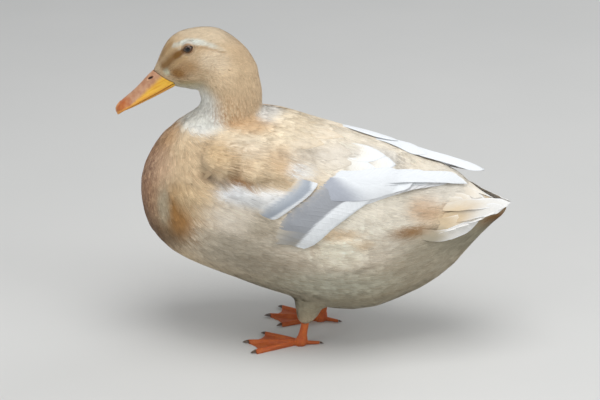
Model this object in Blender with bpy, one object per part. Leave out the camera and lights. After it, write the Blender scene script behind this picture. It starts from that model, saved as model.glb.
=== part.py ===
"""A duck hen of a heavy buff breed, standing at rest, life size.

Each named part of the body is one closed solid: trunk, neck, head, bill, eyes, wings, tail, legs, feet and claws.
The bill points to -X, the tail to +X, the duck's left side is -Y, and the soles stand on Z = 0.
Lengths are in metres and angles in degrees.
"""

import math

import bmesh
import bpy
from mathutils import Matrix, Vector

# ---- Driving sizes ----
GAP = 0.0003  # free space between pieces that touch
SINK = 0.004  # how far a piece reaches into its carrier before it is trimmed

# Trunk sections from breast to vent: place along X, height of the middle, half depth, half width.
TRUNK = (
    (-0.184, 0.177, 0.000, 0.000),
    (-0.161, 0.178, 0.0600, 0.055),
    (-0.125, 0.181, 0.0860, 0.075),
    (-0.086, 0.178, 0.0975, 0.085),
    (-0.029, 0.168, 0.1055, 0.091),
    (0.029, 0.151, 0.1065, 0.089),
    (0.086, 0.143, 0.099, 0.080),
    (0.130, 0.144, 0.081, 0.064),
    (0.172, 0.151, 0.060, 0.047),
    (0.190, 0.155, 0.0415, 0.036),
    (0.205, 0.158, 0.0265, 0.028),
    (0.221, 0.162, 0.0125, 0.018),
    (0.237, 0.166, 0.000, 0.000),
)
BELLY_FULLNESS = 2.35  # section exponent below the middle: over 2 is flatter than an ellipse
BACK_FULLNESS = 2.0

# Neck rings from the shoulders up: X, Z, half depth front to back, half width.
NECK = (
    (-0.096, 0.205, 0.052, 0.050),
    (-0.095, 0.245, 0.052, 0.047),
    (-0.088, 0.262, 0.045, 0.040),
    (-0.0815, 0.272, 0.0375, 0.036),
    (-0.078, 0.283, 0.0345, 0.0335),
    (-0.078, 0.295, 0.0345, 0.0320),
    (-0.080, 0.310, 0.0335, 0.0305),
    (-0.0815, 0.325, 0.0325, 0.0290),
    (-0.088, 0.345, 0.0270, 0.0240),
)

# The head has a frame of its own, tipped so that its +U end looks down the bill.
HEAD_CENTRE = Vector((-0.108, 0.0, 0.333))
HEAD_PITCH = 25
# Head sections from bill to nape: U, height of the middle, half height, half width.
HEAD = (
    (0.0610, 0.0100, 0.0000, 0.0000),
    (0.0580, 0.0083, 0.0052, 0.0050),
    (0.0540, 0.0054, 0.0113, 0.0085),
    (0.0490, 0.0040, 0.0170, 0.0115),
    (0.0440, 0.0042, 0.0217, 0.0140),
    (0.0360, 0.0050, 0.0275, 0.0175),
    (0.0280, 0.0058, 0.0313, 0.0200),
    (0.0170, 0.0059, 0.0339, 0.0230),
    (0.0040, 0.0044, 0.0344, 0.0250),
    (-0.0110, 0.0019, 0.0329, 0.0262),
    (-0.0240, -0.0013, 0.0297, 0.0262),
    (-0.0350, -0.0076, 0.0234, 0.0240),
    (-0.0430, -0.0160, 0.0170, 0.0180),
    (-0.0490, -0.0180, 0.0000, 0.0000),
)

# The bill's frame starts at the corners of the mouth.
GAPE = Vector((-0.1410, 0.0, 0.3045))
BILL_PITCH = 30
# Upper bill from base to tip: S along it, height of its cutting edge, height of its top, half width.
UPPER_BILL = (
    (0.0000, 0.0020, 0.0270, 0.0125),
    (0.0100, 0.0018, 0.0260, 0.0125),
    (0.0180, 0.0015, 0.0243, 0.0122),
    (0.0275, 0.0013, 0.0217, 0.0121),
    (0.0370, 0.0013, 0.0183, 0.0124),
    (0.0460, 0.0013, 0.0155, 0.0131),
    (0.0560, 0.0012, 0.0130, 0.0138),
    (0.0660, 0.0010, 0.0110, 0.0136),
    (0.0740, 0.0002, 0.0088, 0.0112),
    (0.0785, -0.0008, 0.0058, 0.0068),
    (0.0800, -0.0012, 0.0022, 0.0000),
)
LOWER_BILL_LENGTH = 0.0745
LOWER_BILL_DEPTH = 0.0048
LOWER_BILL_INSET = 0.0012  # how much narrower it is than the upper bill on each side

EYE_RADIUS = 0.0066
EYE_PLACE = Vector((0.0072, 0.0215, 0.0222))  # U, half spacing and height of the eye's face in the head's frame

# Leg: the shank leans back from the foot up to the hock, which the belly feathers hide.
FOOT_SPREAD = 0.036  # from the midline to each heel
HEEL_X = 0.012
FOOT_STAGGER = 0.008  # the left foot is this far ahead of the middle, the right foot behind it
SHANK_LEAN = 0.20  # how far back the shank goes for each metre it rises
SHANK_TOP = 0.045
SHANK_RADIUS = 0.0052
THIGH_BOTTOM = 0.029
THIGH_TOP = 0.062
ANKLE_HEIGHT = 0.0105
TOES = (  # angle from straight ahead, length, half width of the toe
    (-27, 0.049, 0.0034),
    (3, 0.061, 0.0038),
    (31, 0.057, 0.0034),
)
TOE_HEIGHT = 0.0072
WEB_THICKNESS = 0.0018
WEB_NOTCH = 0.13  # how far the web's edge is drawn back between two toes
HEEL_RADIUS = 0.0075
HIND_TOE_LENGTH = 0.019
HIND_TOE_RADIUS = 0.0028
CLAW_LENGTH = 0.0085
CLAW_RADIUS = 0.0021

# Folded wing on the side of the trunk: X, angle of its lower edge and of its upper edge on the trunk's section,
# how far its outside stands off the trunk.
WING = (
    (-0.1040, 34.0, 40.0, 0.0030),
    (-0.0980, 25.0, 50.0, 0.0045),
    (-0.0800, 18.0, 60.0, 0.0060),
    (-0.0500, 12.5, 68.0, 0.0068),
    (-0.0200, 4.0, 73.0, 0.0070),
    (0.0000, -1.0, 75.0, 0.0070),
    (0.0190, -3.5, 76.5, 0.0070),
    (0.0300, -1.5, 77.0, 0.0070),
    (0.0430, 9.0, 78.0, 0.0070),
    (0.0680, 22.0, 79.0, 0.0070),
    (0.0900, 31.5, 79.5, 0.0068),
    (0.1180, 41.0, 80.0, 0.0065),
)
WING_EDGE = 0.35  # share of the stand-off that is left at the edges
WING_THINNING = 0.65  # share of the stand-off that is lost from the lower to the upper edge
WING_TIP_LEFT = Vector((0.180, -0.020, 0.2090))
WING_TIP_RIGHT = Vector((0.211, 0.022, 0.2000))
WING_TIP_THICKNESS = 0.0014
WING_COLUMNS = 9
WING_TIP_ROWS = 6

# The tail is a flat fan of twelve feathers around a root inside the trunk.
TAIL_ROOT = Vector((0.100, 0.0, 0.1405))
TAIL_PITCH = 12
TAIL_REACH = ((0, 0.145), (5, 0.142), (11, 0.131), (22, 0.113), (34, 0.096), (44, 0.080))
TAIL_FEATHERS = 12
TAIL_FAN = 39  # half of the fan's angle
TAIL_SCALLOP = 0.006
TAIL_THICKNESS = (0.0060, 0.0013)  # at the root and at the tips


# ---- Helpers ----
def clear_scene():
    for old in list(bpy.data.objects):
        bpy.data.objects.remove(old)


def material(name, colour, roughness):
    """The material of that name, made the first time it is asked for."""
    made = bpy.data.materials.get(name)
    if made:
        return made
    made = bpy.data.materials.new(name)
    made.use_nodes = True
    shader = made.node_tree.nodes["Principled BSDF"]
    shader.inputs["Base Color"].default_value = (*colour, 1.0)
    shader.inputs["Roughness"].default_value = roughness
    shader.inputs["Metallic"].default_value = 0.0
    return made


def buff_plumage():
    return material("buff_plumage", (0.62, 0.46, 0.30), 0.85)


def pale_plumage():
    return material("pale_plumage", (0.78, 0.76, 0.72), 0.8)


def bill_horn():
    return material("bill_horn", (0.72, 0.36, 0.08), 0.4)


def orange_skin():
    return material("orange_skin", (0.75, 0.26, 0.05), 0.5)


def dark_eye():
    return material("dark_eye", (0.03, 0.018, 0.01), 0.1)


def claw_horn():
    return material("claw_horn", (0.12, 0.09, 0.07), 0.45)


def smooth_between(knots, column, at):
    """Value of a column of the table at a place between its rows, on a smooth curve that doesn't overshoot."""
    places = [row[0] for row in knots]
    values = [row[column] for row in knots]
    if places[0] > places[-1]:
        places, values = places[::-1], values[::-1]
    steps = [(b - a) / (q - p) for a, b, p, q in zip(values, values[1:], places, places[1:])]
    slopes = [steps[0]]
    for before, after in zip(steps, steps[1:]):
        same_way = before * after > 0
        slopes.append(2 * before * after / (before + after) if same_way else 0.0)
    slopes.append(steps[-1])
    i = 0
    while i < len(places) - 2 and at > places[i + 1]:
        i += 1
    span = places[i + 1] - places[i]
    t = min(1.0, max(0.0, (at - places[i]) / span))
    ease = t * t * (3 - 2 * t)
    rise = t * (1 - t) ** 2 * span * slopes[i]
    fall = t * t * (t - 1) * span * slopes[i + 1]
    return values[i] + (values[i + 1] - values[i]) * ease + rise + fall


def rounded_between(knots, column, at):
    """As smooth_between, on the squares of the column, so that a shape ends in a round nose."""
    squares = [(row[0], row[column] ** 2) for row in knots]
    return math.sqrt(max(0.0, smooth_between(squares, 1, at)))


def swell(value, fullness):
    """A sine or cosine bent so that a ring drawn with it is a superellipse."""
    return math.copysign(abs(value) ** (2 / fullness), value)


def end_weighted(count):
    """Shares from 0 to 1, closer together near both ends."""
    return [(1 - math.cos(math.pi * i / (count - 1))) / 2 for i in range(count)]


def object_from(name, mesh_builder, finish):
    """A new object from a bmesh, with its faces turned outwards and its material set."""
    bmesh.ops.remove_doubles(mesh_builder, verts=mesh_builder.verts, dist=1e-6)
    bmesh.ops.recalc_face_normals(mesh_builder, faces=mesh_builder.faces)
    mesh = bpy.data.meshes.new(name)
    mesh_builder.to_mesh(mesh)
    mesh_builder.free()
    mesh.materials.append(finish)
    mesh.shade_smooth()
    mesh.set_sharp_from_angle(angle=math.radians(50))
    made = bpy.data.objects.new(name, mesh)
    bpy.context.scene.collection.objects.link(made)
    return made


def skin_rings(name, rings, finish):
    """A closed solid over rings of points. A ring whose points coincide becomes a pole."""
    shape = bmesh.new()
    rows = []
    for ring in rings:
        centre = sum(ring, Vector()) / len(ring)
        if max((p - centre).length for p in ring) < 1e-6:
            rows.append([shape.verts.new(centre)] * len(ring))
        else:
            rows.append([shape.verts.new(p) for p in ring])
    for row, after in zip(rows, rows[1:]):
        for i in range(len(row)):
            j = (i + 1) % len(row)
            corners = list(dict.fromkeys((row[i], row[j], after[j], after[i])))
            shape.faces.new(corners)
    for row in (rows[0], rows[-1]):
        if len(set(row)) > 1:
            shape.faces.new(row)
    return object_from(name, shape, finish)


def skin_sheets(name, front, back, finish):
    """A closed solid between two grids of points with the same numbers of rows and columns."""
    shape = bmesh.new()
    grids = [[[shape.verts.new(p) for p in row] for row in grid] for grid in (front, back)]
    for grid in grids:
        for row, after in zip(grid, grid[1:]):
            for i in range(len(row) - 1):
                shape.faces.new((row[i], row[i + 1], after[i + 1], after[i]))
    rims = []
    for grid in grids:
        right = [row[-1] for row in grid[1:-1]]
        left = [row[0] for row in grid[-2:0:-1]]
        rims.append([*grid[0], *right, *grid[-1][::-1], *left])
    for i in range(len(rims[0])):
        j = (i + 1) % len(rims[0])
        shape.faces.new((rims[0][i], rims[0][j], rims[1][j], rims[1][i]))
    return object_from(name, shape, finish)


def mirrored(source, name, shift):
    """A copy on the other side of the midline, moved along X, with a mesh of its own."""
    mesh = source.data.copy()
    mesh.transform(Matrix.Translation((shift, 0, 0)) @ Matrix.Scale(-1, 4, (0, 1, 0)))
    mesh.flip_normals()
    copy = bpy.data.objects.new(name, mesh)
    bpy.context.scene.collection.objects.link(copy)
    return copy


def inflated(source, by):
    """A helper copy of an object with its surface moved outwards."""
    shape = bmesh.new()
    shape.from_mesh(source.data)
    bmesh.ops.recalc_face_normals(shape, faces=shape.faces)
    shape.normal_update()
    moved = [(v, v.co + v.normal * by * v.calc_shell_factor()) for v in shape.verts]
    for vertex, place in moved:
        vertex.co = place
    return object_from(source.name + "_cutter", shape, source.data.materials[0])


def combine(target, tool, operation):
    """Applies a Boolean to the target's mesh and removes the tool."""
    step = target.modifiers.new(operation.lower(), "BOOLEAN")
    step.operation = operation
    step.object = tool
    step.solver = "EXACT"
    graph = bpy.context.evaluated_depsgraph_get()
    result = bpy.data.meshes.new_from_object(target.evaluated_get(graph))
    target.modifiers.clear()
    target.data = result
    bpy.data.objects.remove(tool)


def trim_against(piece, *carriers):
    """Cuts away what reaches into the carriers, with a thin gap, so that the piece sits on them."""
    for carrier in carriers:
        combine(piece, inflated(carrier, GAP), "DIFFERENCE")
    keep_largest(piece)


def keep_largest(piece):
    """Removes crumbs that a cut leaves beside the main body of a piece."""
    shape = bmesh.new()
    shape.from_mesh(piece.data)
    islands, seen = [], set()
    for start in shape.verts:
        if start in seen:
            continue
        island, edge_of = [start], [start]
        seen.add(start)
        while edge_of:
            vertex = edge_of.pop()
            for edge in vertex.link_edges:
                other = edge.other_vert(vertex)
                if other not in seen:
                    seen.add(other)
                    island.append(other)
                    edge_of.append(other)
        islands.append(island)
    islands.sort(key=len)
    for crumb in islands[:-1]:
        bmesh.ops.delete(shape, geom=crumb, context="VERTS")
    shape.to_mesh(piece.data)
    shape.free()


# ---- Trunk ----
def trunk_point(x, angle, lift=0.0):
    """A point of the trunk's section at X. Angle 0 is the left flank, 90 the back, 270 the belly."""
    middle = smooth_between(TRUNK, 1, x)
    depth = rounded_between(TRUNK, 2, x) + lift
    width = rounded_between(TRUNK, 3, x) + lift
    across, up = math.cos(math.radians(angle)), math.sin(math.radians(angle))
    fullness = BACK_FULLNESS if up > 0 else BELLY_FULLNESS
    return Vector((x, -width * swell(across, fullness), middle + depth * swell(up, fullness)))


def make_trunk():
    start, end = TRUNK[0][0], TRUNK[-1][0]
    rings = []
    for share in end_weighted(26):
        x = start + (end - start) * share
        rings.append([trunk_point(x, 360 * i / 32) for i in range(32)])
    return skin_rings("trunk", rings, buff_plumage())


# ---- Neck and head ----
def make_neck():
    by_height = [(row[1], row[0], row[2], row[3]) for row in NECK]
    bottom, top = NECK[0][1], NECK[-1][1]
    rings = []
    for i in range(15):
        z = bottom + (top - bottom) * i / 14
        x, depth, width = (smooth_between(by_height, column, z) for column in (1, 2, 3))
        turns = [math.tau * k / 26 for k in range(26)]
        rings.append([Vector((x + depth * math.cos(t), width * math.sin(t), z)) for t in turns])
    return skin_rings("neck", rings, buff_plumage())


def tipped(origin, pitch, along, across, up):
    """A point given in a frame whose first axis looks forward and down by the pitch."""
    tilt = math.radians(pitch)
    forward = Vector((-math.cos(tilt), 0.0, -math.sin(tilt)))
    upward = Vector((-math.sin(tilt), 0.0, math.cos(tilt)))
    return origin + forward * along + upward * up + Vector((0.0, -across, 0.0))


def head_point(along, across, up):
    return tipped(HEAD_CENTRE, HEAD_PITCH, along, across, up)


def bill_point(along, across, up):
    return tipped(GAPE, BILL_PITCH, along, across, up)


def make_head():
    start, end = HEAD[0][0], HEAD[-1][0]
    turns = [math.tau * k / 28 for k in range(28)]
    rings = []
    for share in end_weighted(21):
        u = start + (end - start) * share
        middle = smooth_between(HEAD, 1, u)
        height, width = (rounded_between(HEAD, column, u) for column in (2, 3))
        rings.append([head_point(u, width * math.cos(t), middle + height * math.sin(t)) for t in turns])
    return skin_rings("head", rings, buff_plumage())


def make_eye(name, side):
    """An eyeball most of which lies inside the head."""
    shape = bmesh.new()
    bmesh.ops.create_uvsphere(shape, u_segments=14, v_segments=8, radius=EYE_RADIUS)
    bmesh.ops.rotate(shape, verts=shape.verts, matrix=Matrix.Rotation(math.pi / 2, 3, "X"))
    across = side * (EYE_PLACE.y - EYE_RADIUS * 0.62)
    bmesh.ops.translate(shape, verts=shape.verts, vec=head_point(EYE_PLACE.x, across, EYE_PLACE.z))
    return object_from(name, shape, dark_eye())


# ---- Bill ----
def make_upper_bill():
    end, tip_height = UPPER_BILL[-1][0], (UPPER_BILL[-1][1] + UPPER_BILL[-1][2]) / 2
    rings = []
    for i in range(15):
        s = end * math.sin(math.pi / 2 * i / 15)
        edge, top = (smooth_between(UPPER_BILL, column, s) for column in (1, 2))
        width = rounded_between(UPPER_BILL, 3, s)
        ring = []
        for k in range(22):
            across, up = math.cos(math.tau * k / 22), math.sin(math.tau * k / 22)
            rise = (top - edge) * swell(up, 1.5) if up > 0 else 0.0006 * up
            ring.append(bill_point(s, width * swell(across, 2.3), edge + rise))
        rings.append(ring)
    rings.append([bill_point(end, 0.0, tip_height)] * 22)
    return skin_rings("bill_upper", rings, bill_horn())


def make_lower_bill():
    rings = []
    for i in range(12):
        share = math.sin(math.pi / 2 * i / 12)
        s = LOWER_BILL_LENGTH * share
        roof = smooth_between(UPPER_BILL, 1, s) - 0.0006 - GAP
        taper = math.sqrt(1 - share**6)
        width = (rounded_between(UPPER_BILL, 3, s) - LOWER_BILL_INSET) * taper
        depth = LOWER_BILL_DEPTH * (1 - 0.5 * share) * taper
        ring = []
        for k in range(14):
            across, up = math.cos(math.tau * k / 14), math.sin(math.tau * k / 14)
            ring.append(bill_point(s, width * across, roof + depth * min(up, 0.0)))
        rings.append(ring)
    end_roof = smooth_between(UPPER_BILL, 1, LOWER_BILL_LENGTH) - 0.0012
    rings.append([bill_point(LOWER_BILL_LENGTH, 0.0, end_roof)] * 14)
    return skin_rings("bill_lower", rings, bill_horn())


# ---- Wings and tail ----
def wing_row(x, low, high, lift):
    """Outer and inner points of the wing across the trunk's side at X."""
    outer, inner = [], []
    for k in range(WING_COLUMNS):
        share = k / (WING_COLUMNS - 1)
        angle = low + (high - low) * share
        bulge = WING_EDGE + (1 - WING_EDGE) * math.sqrt(max(0.0, 1 - (2 * share - 1) ** 4))
        outer.append(trunk_point(x, angle, lift * bulge * (1 - WING_THINNING * share)))
        inner.append(trunk_point(x, angle, -SINK))
    return outer, inner


def make_wing(name, tip):
    """A folded wing: the front lies on the trunk, the rear is a free blade that runs out to the tip."""
    start, end = WING[0][0], WING[-1][0]
    front, back = [], []
    for i in range(14):
        x = start + (end - start) * i / 13
        outer, inner = wing_row(x, *(smooth_between(WING, column, x) for column in (1, 2, 3)))
        front.append(outer)
        back.append(inner)
    root_outer, root_inner = front[-1], back[-1]
    centre = root_outer[WING_COLUMNS // 2]
    for i in range(1, WING_TIP_ROWS + 1):
        share = math.sin(math.pi / 2 * i / WING_TIP_ROWS)
        axis = centre.lerp(tip, share)
        narrow = max(0.06, (1 - share**1.5) ** 0.9)
        outer, inner = [], []
        for top, under in zip(root_outer, root_inner):
            place = axis + (top - centre) * narrow
            depth = (top - under) * (1 - share) + (top - under).normalized() * WING_TIP_THICKNESS * share
            outer.append(place)
            inner.append(place - depth)
        front.append(outer)
        back.append(inner)
    return skin_sheets(name, front, back, pale_plumage())


def make_tail():
    tilt = math.radians(TAIL_PITCH)
    columns = TAIL_FEATHERS * 4
    top, bottom = [], []
    for i in range(8):
        share = 0.3 + 0.7 * i / 7
        upper_row, lower_row = [], []
        for k in range(columns + 1):
            angle = TAIL_FAN * (2 * k / columns - 1)
            from_feather_middle = abs((k / 4) % 1 - 0.5) * 2
            reach = smooth_between(TAIL_REACH, 1, abs(angle)) - TAIL_SCALLOP * from_feather_middle**2 * share
            along = reach * share * math.cos(math.radians(angle))
            across = reach * share * math.sin(math.radians(angle))
            half = (TAIL_THICKNESS[0] * (1 - share) + TAIL_THICKNESS[1] * share) / 2
            place = TAIL_ROOT + Vector((along * math.cos(tilt), across, along * math.sin(tilt)))
            upper_row.append(place + Vector((0, 0, half)))
            lower_row.append(place - Vector((0, 0, half)))
        top.append(upper_row)
        bottom.append(lower_row)
    return skin_sheets("tail", top, bottom, pale_plumage())


# ---- Legs and feet ----
def foot_heel(side):
    return Vector((HEEL_X - side * FOOT_STAGGER, -side * FOOT_SPREAD, 0.0))


def upright_rings(name, axis, radii, count, finish):
    """A closed solid of round horizontal rings about the points of an axis."""
    rings = []
    for centre, radius in zip(axis, radii):
        turns = [math.tau * k / count for k in range(count)]
        rings.append([centre + Vector((radius * math.cos(t), radius * math.sin(t), 0)) for t in turns])
    return skin_rings(name, rings, finish)


def make_thigh(name, side):
    heel = foot_heel(side)
    axis, radii = [], []
    for i in range(6):
        z = THIGH_BOTTOM + (THIGH_TOP - THIGH_BOTTOM) * i / 5
        axis.append(heel + Vector((SHANK_LEAN * z, 0, z)))
        radii.append(0.0075 + 0.0125 * (i / 5) ** 0.8)
    return upright_rings(name, axis, radii, 16, buff_plumage())


def make_shank(name, side):
    heel = foot_heel(side)
    axis, radii = [], []
    for i in range(6):
        z = 0.004 + (SHANK_TOP - 0.004) * i / 5
        axis.append(heel + Vector((SHANK_LEAN * z, 0, z)))
        radii.append(SHANK_RADIUS * (1.0 + 0.12 * math.cos(math.tau * i / 5)))
    return upright_rings(name, axis, radii, 12, orange_skin())


def toe_height(across, along, length, half_width):
    """Height of a toe's back over the ground at a distance to the side of its middle line."""
    width = half_width * (1.15 - 0.35 * along / length)
    if abs(across) >= width or along > length:
        return 0.0
    return TOE_HEIGHT * (1.0 - 0.30 * along / length) * math.sqrt(1 - (across / width) ** 2)


def web_reach(angle):
    """How far the foot goes in a direction: toes at full length, the web drawn back between them."""
    for (first, length, _), (second, after, _) in zip(TOES, TOES[1:]):
        if first <= angle <= second:
            share = (angle - first) / (second - first)
            sag = 1 - WEB_NOTCH * math.sin(math.pi * share)
            return (length + (after - length) * share) * sag
    return TOES[0][1] if angle < TOES[0][0] else TOES[-1][1]


def foot_directions():
    """Directions of the foot's columns: close together across each toe, and in between."""
    directions = []
    for number, (middle, _, _) in enumerate(TOES):
        directions += [middle + step for step in (-4.2, -2.1, 0.0, 2.1, 4.2)]
        if number + 1 < len(TOES):
            gap = TOES[number + 1][0] - middle - 8.4
            directions += [middle + 4.2 + gap * k / 4 for k in (1, 2, 3)]
    return directions


def make_foot(name):
    """The left foot: webbed front toes flat on the ground, a heel pad and a small hind toe."""
    top, bottom = [], []
    rows = 6
    for i in range(rows):
        share = 0.06 + 0.94 * i / (rows - 1)
        upper, lower = [], []
        for angle in foot_directions():
            reach = web_reach(angle) * share
            height = WEB_THICKNESS
            for middle, length, half_width in TOES:
                aside = math.radians(angle - middle)
                across, ahead = reach * math.sin(aside), reach * math.cos(aside)
                height = max(height, toe_height(across, ahead, length, half_width))
            turn = math.radians(angle)
            ground = foot_heel(1) + Vector((-reach * math.cos(turn), -reach * math.sin(turn), 0))
            upper.append(ground + Vector((0, 0, height)))
            lower.append(ground)
        top.append(upper)
        bottom.append(lower)
    foot = skin_sheets(name, top, bottom, orange_skin())
    ankle = [foot_heel(1) + Vector((SHANK_LEAN * z, 0, z)) for z in (0, 0.003, 0.007, ANKLE_HEIGHT)]
    pad = upright_rings("heel_pad", ankle, [HEEL_RADIUS * r for r in (0.9, 1.0, 0.95, 0.8)], 14, orange_skin())
    combine(foot, pad, "UNION")
    rings = []
    for i in range(5):
        share = i / 4
        centre = foot_heel(1) + Vector((HEEL_RADIUS * 0.4 + HIND_TOE_LENGTH * share, 0.004 * share, 0))
        radius = HIND_TOE_RADIUS * (1 - 0.35 * share)
        turns = [math.tau * k / 10 for k in range(10)]
        middle = centre + Vector((0, 0, radius))
        rings.append([middle + Vector((0, radius * math.cos(t), radius * math.sin(t))) for t in turns])
    combine(foot, skin_rings("hind_toe", rings, orange_skin()), "UNION")
    keep_largest(foot)
    return foot


def make_claw(name, root, direction, length, radius):
    """A claw that leaves the toe's end level and bends down towards the ground."""
    aside = Vector((-direction.y, direction.x, 0))
    rings = []
    for i in range(5):
        share = i / 4
        centre = root + direction * (length * (share - 0.2)) - Vector((0, 0, 0.0014 * share**2))
        size = radius * (1 - share**1.6) ** 0.8
        turns = [math.tau * k / 8 for k in range(8)]
        rings.append([centre + aside * size * math.cos(t) + Vector((0, 0, size * math.sin(t))) for t in turns])
    return skin_rings(name, rings, claw_horn())


def make_left_claws(foot):
    claws = []
    for number, (angle, length, _) in enumerate(TOES):
        turn = math.radians(angle)
        direction = Vector((-math.cos(turn), -math.sin(turn), 0))
        root = foot_heel(1) + direction * length + Vector((0, 0, 0.0028))
        claws.append(make_claw(f"claw_left_{number + 1}", root, direction, CLAW_LENGTH, CLAW_RADIUS))
    root = foot_heel(1) + Vector((HEEL_RADIUS * 0.4 + HIND_TOE_LENGTH, 0.004, 0.0022))
    claws.append(make_claw("claw_left_4", root, Vector((1, 0, 0)), CLAW_LENGTH * 0.7, CLAW_RADIUS * 0.75))
    for claw in claws:
        trim_against(claw, foot)
    return claws


# ---- Assembly ----
def centre_on_floor():
    """Moves the duck as a whole, so that the middle of its box stands over the origin and its soles at Z = 0."""
    corners = [vertex.co for piece in bpy.context.scene.objects for vertex in piece.data.vertices]
    low = [min(corner[axis] for corner in corners) for axis in range(3)]
    high = [max(corner[axis] for corner in corners) for axis in range(3)]
    shift = Vector((-(low[0] + high[0]) / 2, -(low[1] + high[1]) / 2, -low[2]))
    for piece in bpy.context.scene.objects:
        piece.data.transform(Matrix.Translation(shift))


def main():
    clear_scene()
    trunk = make_trunk()
    head = make_head()
    neck = make_neck()
    trim_against(neck, trunk, head)
    for bill in (make_upper_bill(), make_lower_bill()):
        trim_against(bill, head)
    for eye in (make_eye("eye_left", 1), make_eye("eye_right", -1)):
        combine(head, inflated(eye, GAP), "DIFFERENCE")
    wings = [make_wing("wing_left", WING_TIP_LEFT)]
    mirror_tip = Vector((WING_TIP_RIGHT.x, -WING_TIP_RIGHT.y, WING_TIP_RIGHT.z))
    pattern = make_wing("pattern", mirror_tip)
    wings.append(mirrored(pattern, "wing_right", 0.0))
    bpy.data.objects.remove(pattern)
    for wing in wings:
        trim_against(wing, trunk, neck)
    tail = make_tail()
    trim_against(tail, trunk)
    foot = make_foot("foot_left")
    claws = make_left_claws(foot)
    for part in (foot, *claws):
        mirrored(part, part.name.replace("left", "right"), 2 * FOOT_STAGGER)
    for side, word in ((1, "left"), (-1, "right")):
        thigh = make_thigh("thigh_" + word, side)
        trim_against(thigh, trunk)
        shank = make_shank("shank_" + word, side)
        trim_against(shank, thigh, bpy.data.objects["foot_" + word])
    centre_on_floor()


main()
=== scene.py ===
# %% [markdown]
# # A buff domestic duck, life size, as a museum model
#
# The duck is dressed here in skin, feathers, horn and scales. Its solid parts come from the packed
# model, and every piece made below rides on the model's one body, "root". Lengths are in metres:
# X runs from bill to tail, Y to the duck's right, Z up, and the soles stand on Z = 0.

# %% Load the solid duck
import math
import bmesh
import bpy
import numpy as np
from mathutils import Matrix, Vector
from mathutils.bvhtree import BVHTree


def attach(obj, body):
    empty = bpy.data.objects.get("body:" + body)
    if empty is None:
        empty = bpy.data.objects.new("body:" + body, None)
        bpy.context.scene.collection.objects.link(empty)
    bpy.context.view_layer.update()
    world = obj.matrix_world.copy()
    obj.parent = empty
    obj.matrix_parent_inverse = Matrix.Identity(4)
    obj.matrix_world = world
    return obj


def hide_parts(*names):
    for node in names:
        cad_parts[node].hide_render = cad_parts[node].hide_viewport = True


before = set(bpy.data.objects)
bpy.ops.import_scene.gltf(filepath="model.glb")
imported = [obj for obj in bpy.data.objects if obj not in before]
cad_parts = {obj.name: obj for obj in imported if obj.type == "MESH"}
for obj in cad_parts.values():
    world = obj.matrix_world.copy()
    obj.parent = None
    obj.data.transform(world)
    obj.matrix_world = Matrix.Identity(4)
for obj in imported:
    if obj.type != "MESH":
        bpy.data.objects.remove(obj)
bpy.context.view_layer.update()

MM = 0.001
CHANCE = np.random.default_rng(11)

# %% [markdown]
# ## Where the main forms are
#
# A few places are used again and again: the middle of the head with its own forward and upward
# directions, the corner of the mouth with those of the bill, the eyes and the root of the tail.

# %% Places on the duck
def tipped(degrees):
    """Forward and upward directions of something that faces the bill's way and is tipped down."""
    a = math.radians(degrees)
    return Vector((-math.cos(a), 0, -math.sin(a))), Vector((-math.sin(a), 0, math.cos(a)))


HEAD_MIDDLE = Vector((-0.1224, 0, 0.333))
HEAD_FORWARD, HEAD_UP = tipped(25)
MOUTH_CORNER = Vector((-0.1554, 0, 0.3045))
BILL_FORWARD, BILL_UP = tipped(30)
BILL_ROOT = Vector((-0.178, 0, 0.313))
EYE_RADIUS = 6.6 * MM
EYE_MIDDLE = HEAD_MIDDLE + 0.0072 * HEAD_FORWARD + 0.0222 * HEAD_UP
EYE_OUT = 0.0174  # how far each eyeball's middle is from the middle of the head
TAIL_ROOT = Vector((0.0856, 0, 0.1405))
NECK_LOW, HEAD_LOW = 0.262, 0.300  # heights at which the neck and the head begin
NECK_END, HEAD_END = -0.045, -0.05  # and how far back they reach
BREAST_END, BACK_LOW = -0.12, 0.205  # where the breast ends, and the height at which the back begins
LEGS_MIDDLE = 0.01
FLESH = ["trunk", "neck", "head", "thigh_left", "thigh_right"]
WINGS = ["wing_left", "wing_right"]
print("eyes at", [round(v, 4) for v in EYE_MIDDLE])

# %% [markdown]
# ## Arithmetic for materials
#
# A Blender material is a board of nodes joined by wires. Writing each Math node by hand is slow to
# read, so a wire gets the usual operators here, and an expression such as `1 - mask * 0.5` adds the
# nodes for it. Every other node comes from one method, `add`.

# %% Wires and boards
class Wire:
    """A number that comes out of a node, with the arithmetic of a number."""

    def __init__(self, board, socket):
        self.board, self.socket = board, socket

    def maths(self, operation, *others):
        return self.board.add("ShaderNodeMath", {"operation": operation}, [self, *others])

    def __add__(self, other):
        return self.maths("ADD", other)

    def __sub__(self, other):
        return self.maths("SUBTRACT", other)

    def __rsub__(self, other):
        return self.board.add("ShaderNodeMath", {"operation": "SUBTRACT"}, [other, self])

    def __mul__(self, other):
        return self.maths("MULTIPLY", other)

    def __truediv__(self, other):
        return self.maths("DIVIDE", other)

    def __pow__(self, other):
        return self.maths("POWER", other)

    def size(self):
        return self.maths("ABSOLUTE")

    def step(self, low, high):
        """0 below low and 1 above high, with a soft rise between them."""
        return self.board.add("ShaderNodeMapRange", {"interpolation_type": "SMOOTHSTEP"},
                              [self, low, high, 0.0, 1.0])


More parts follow.
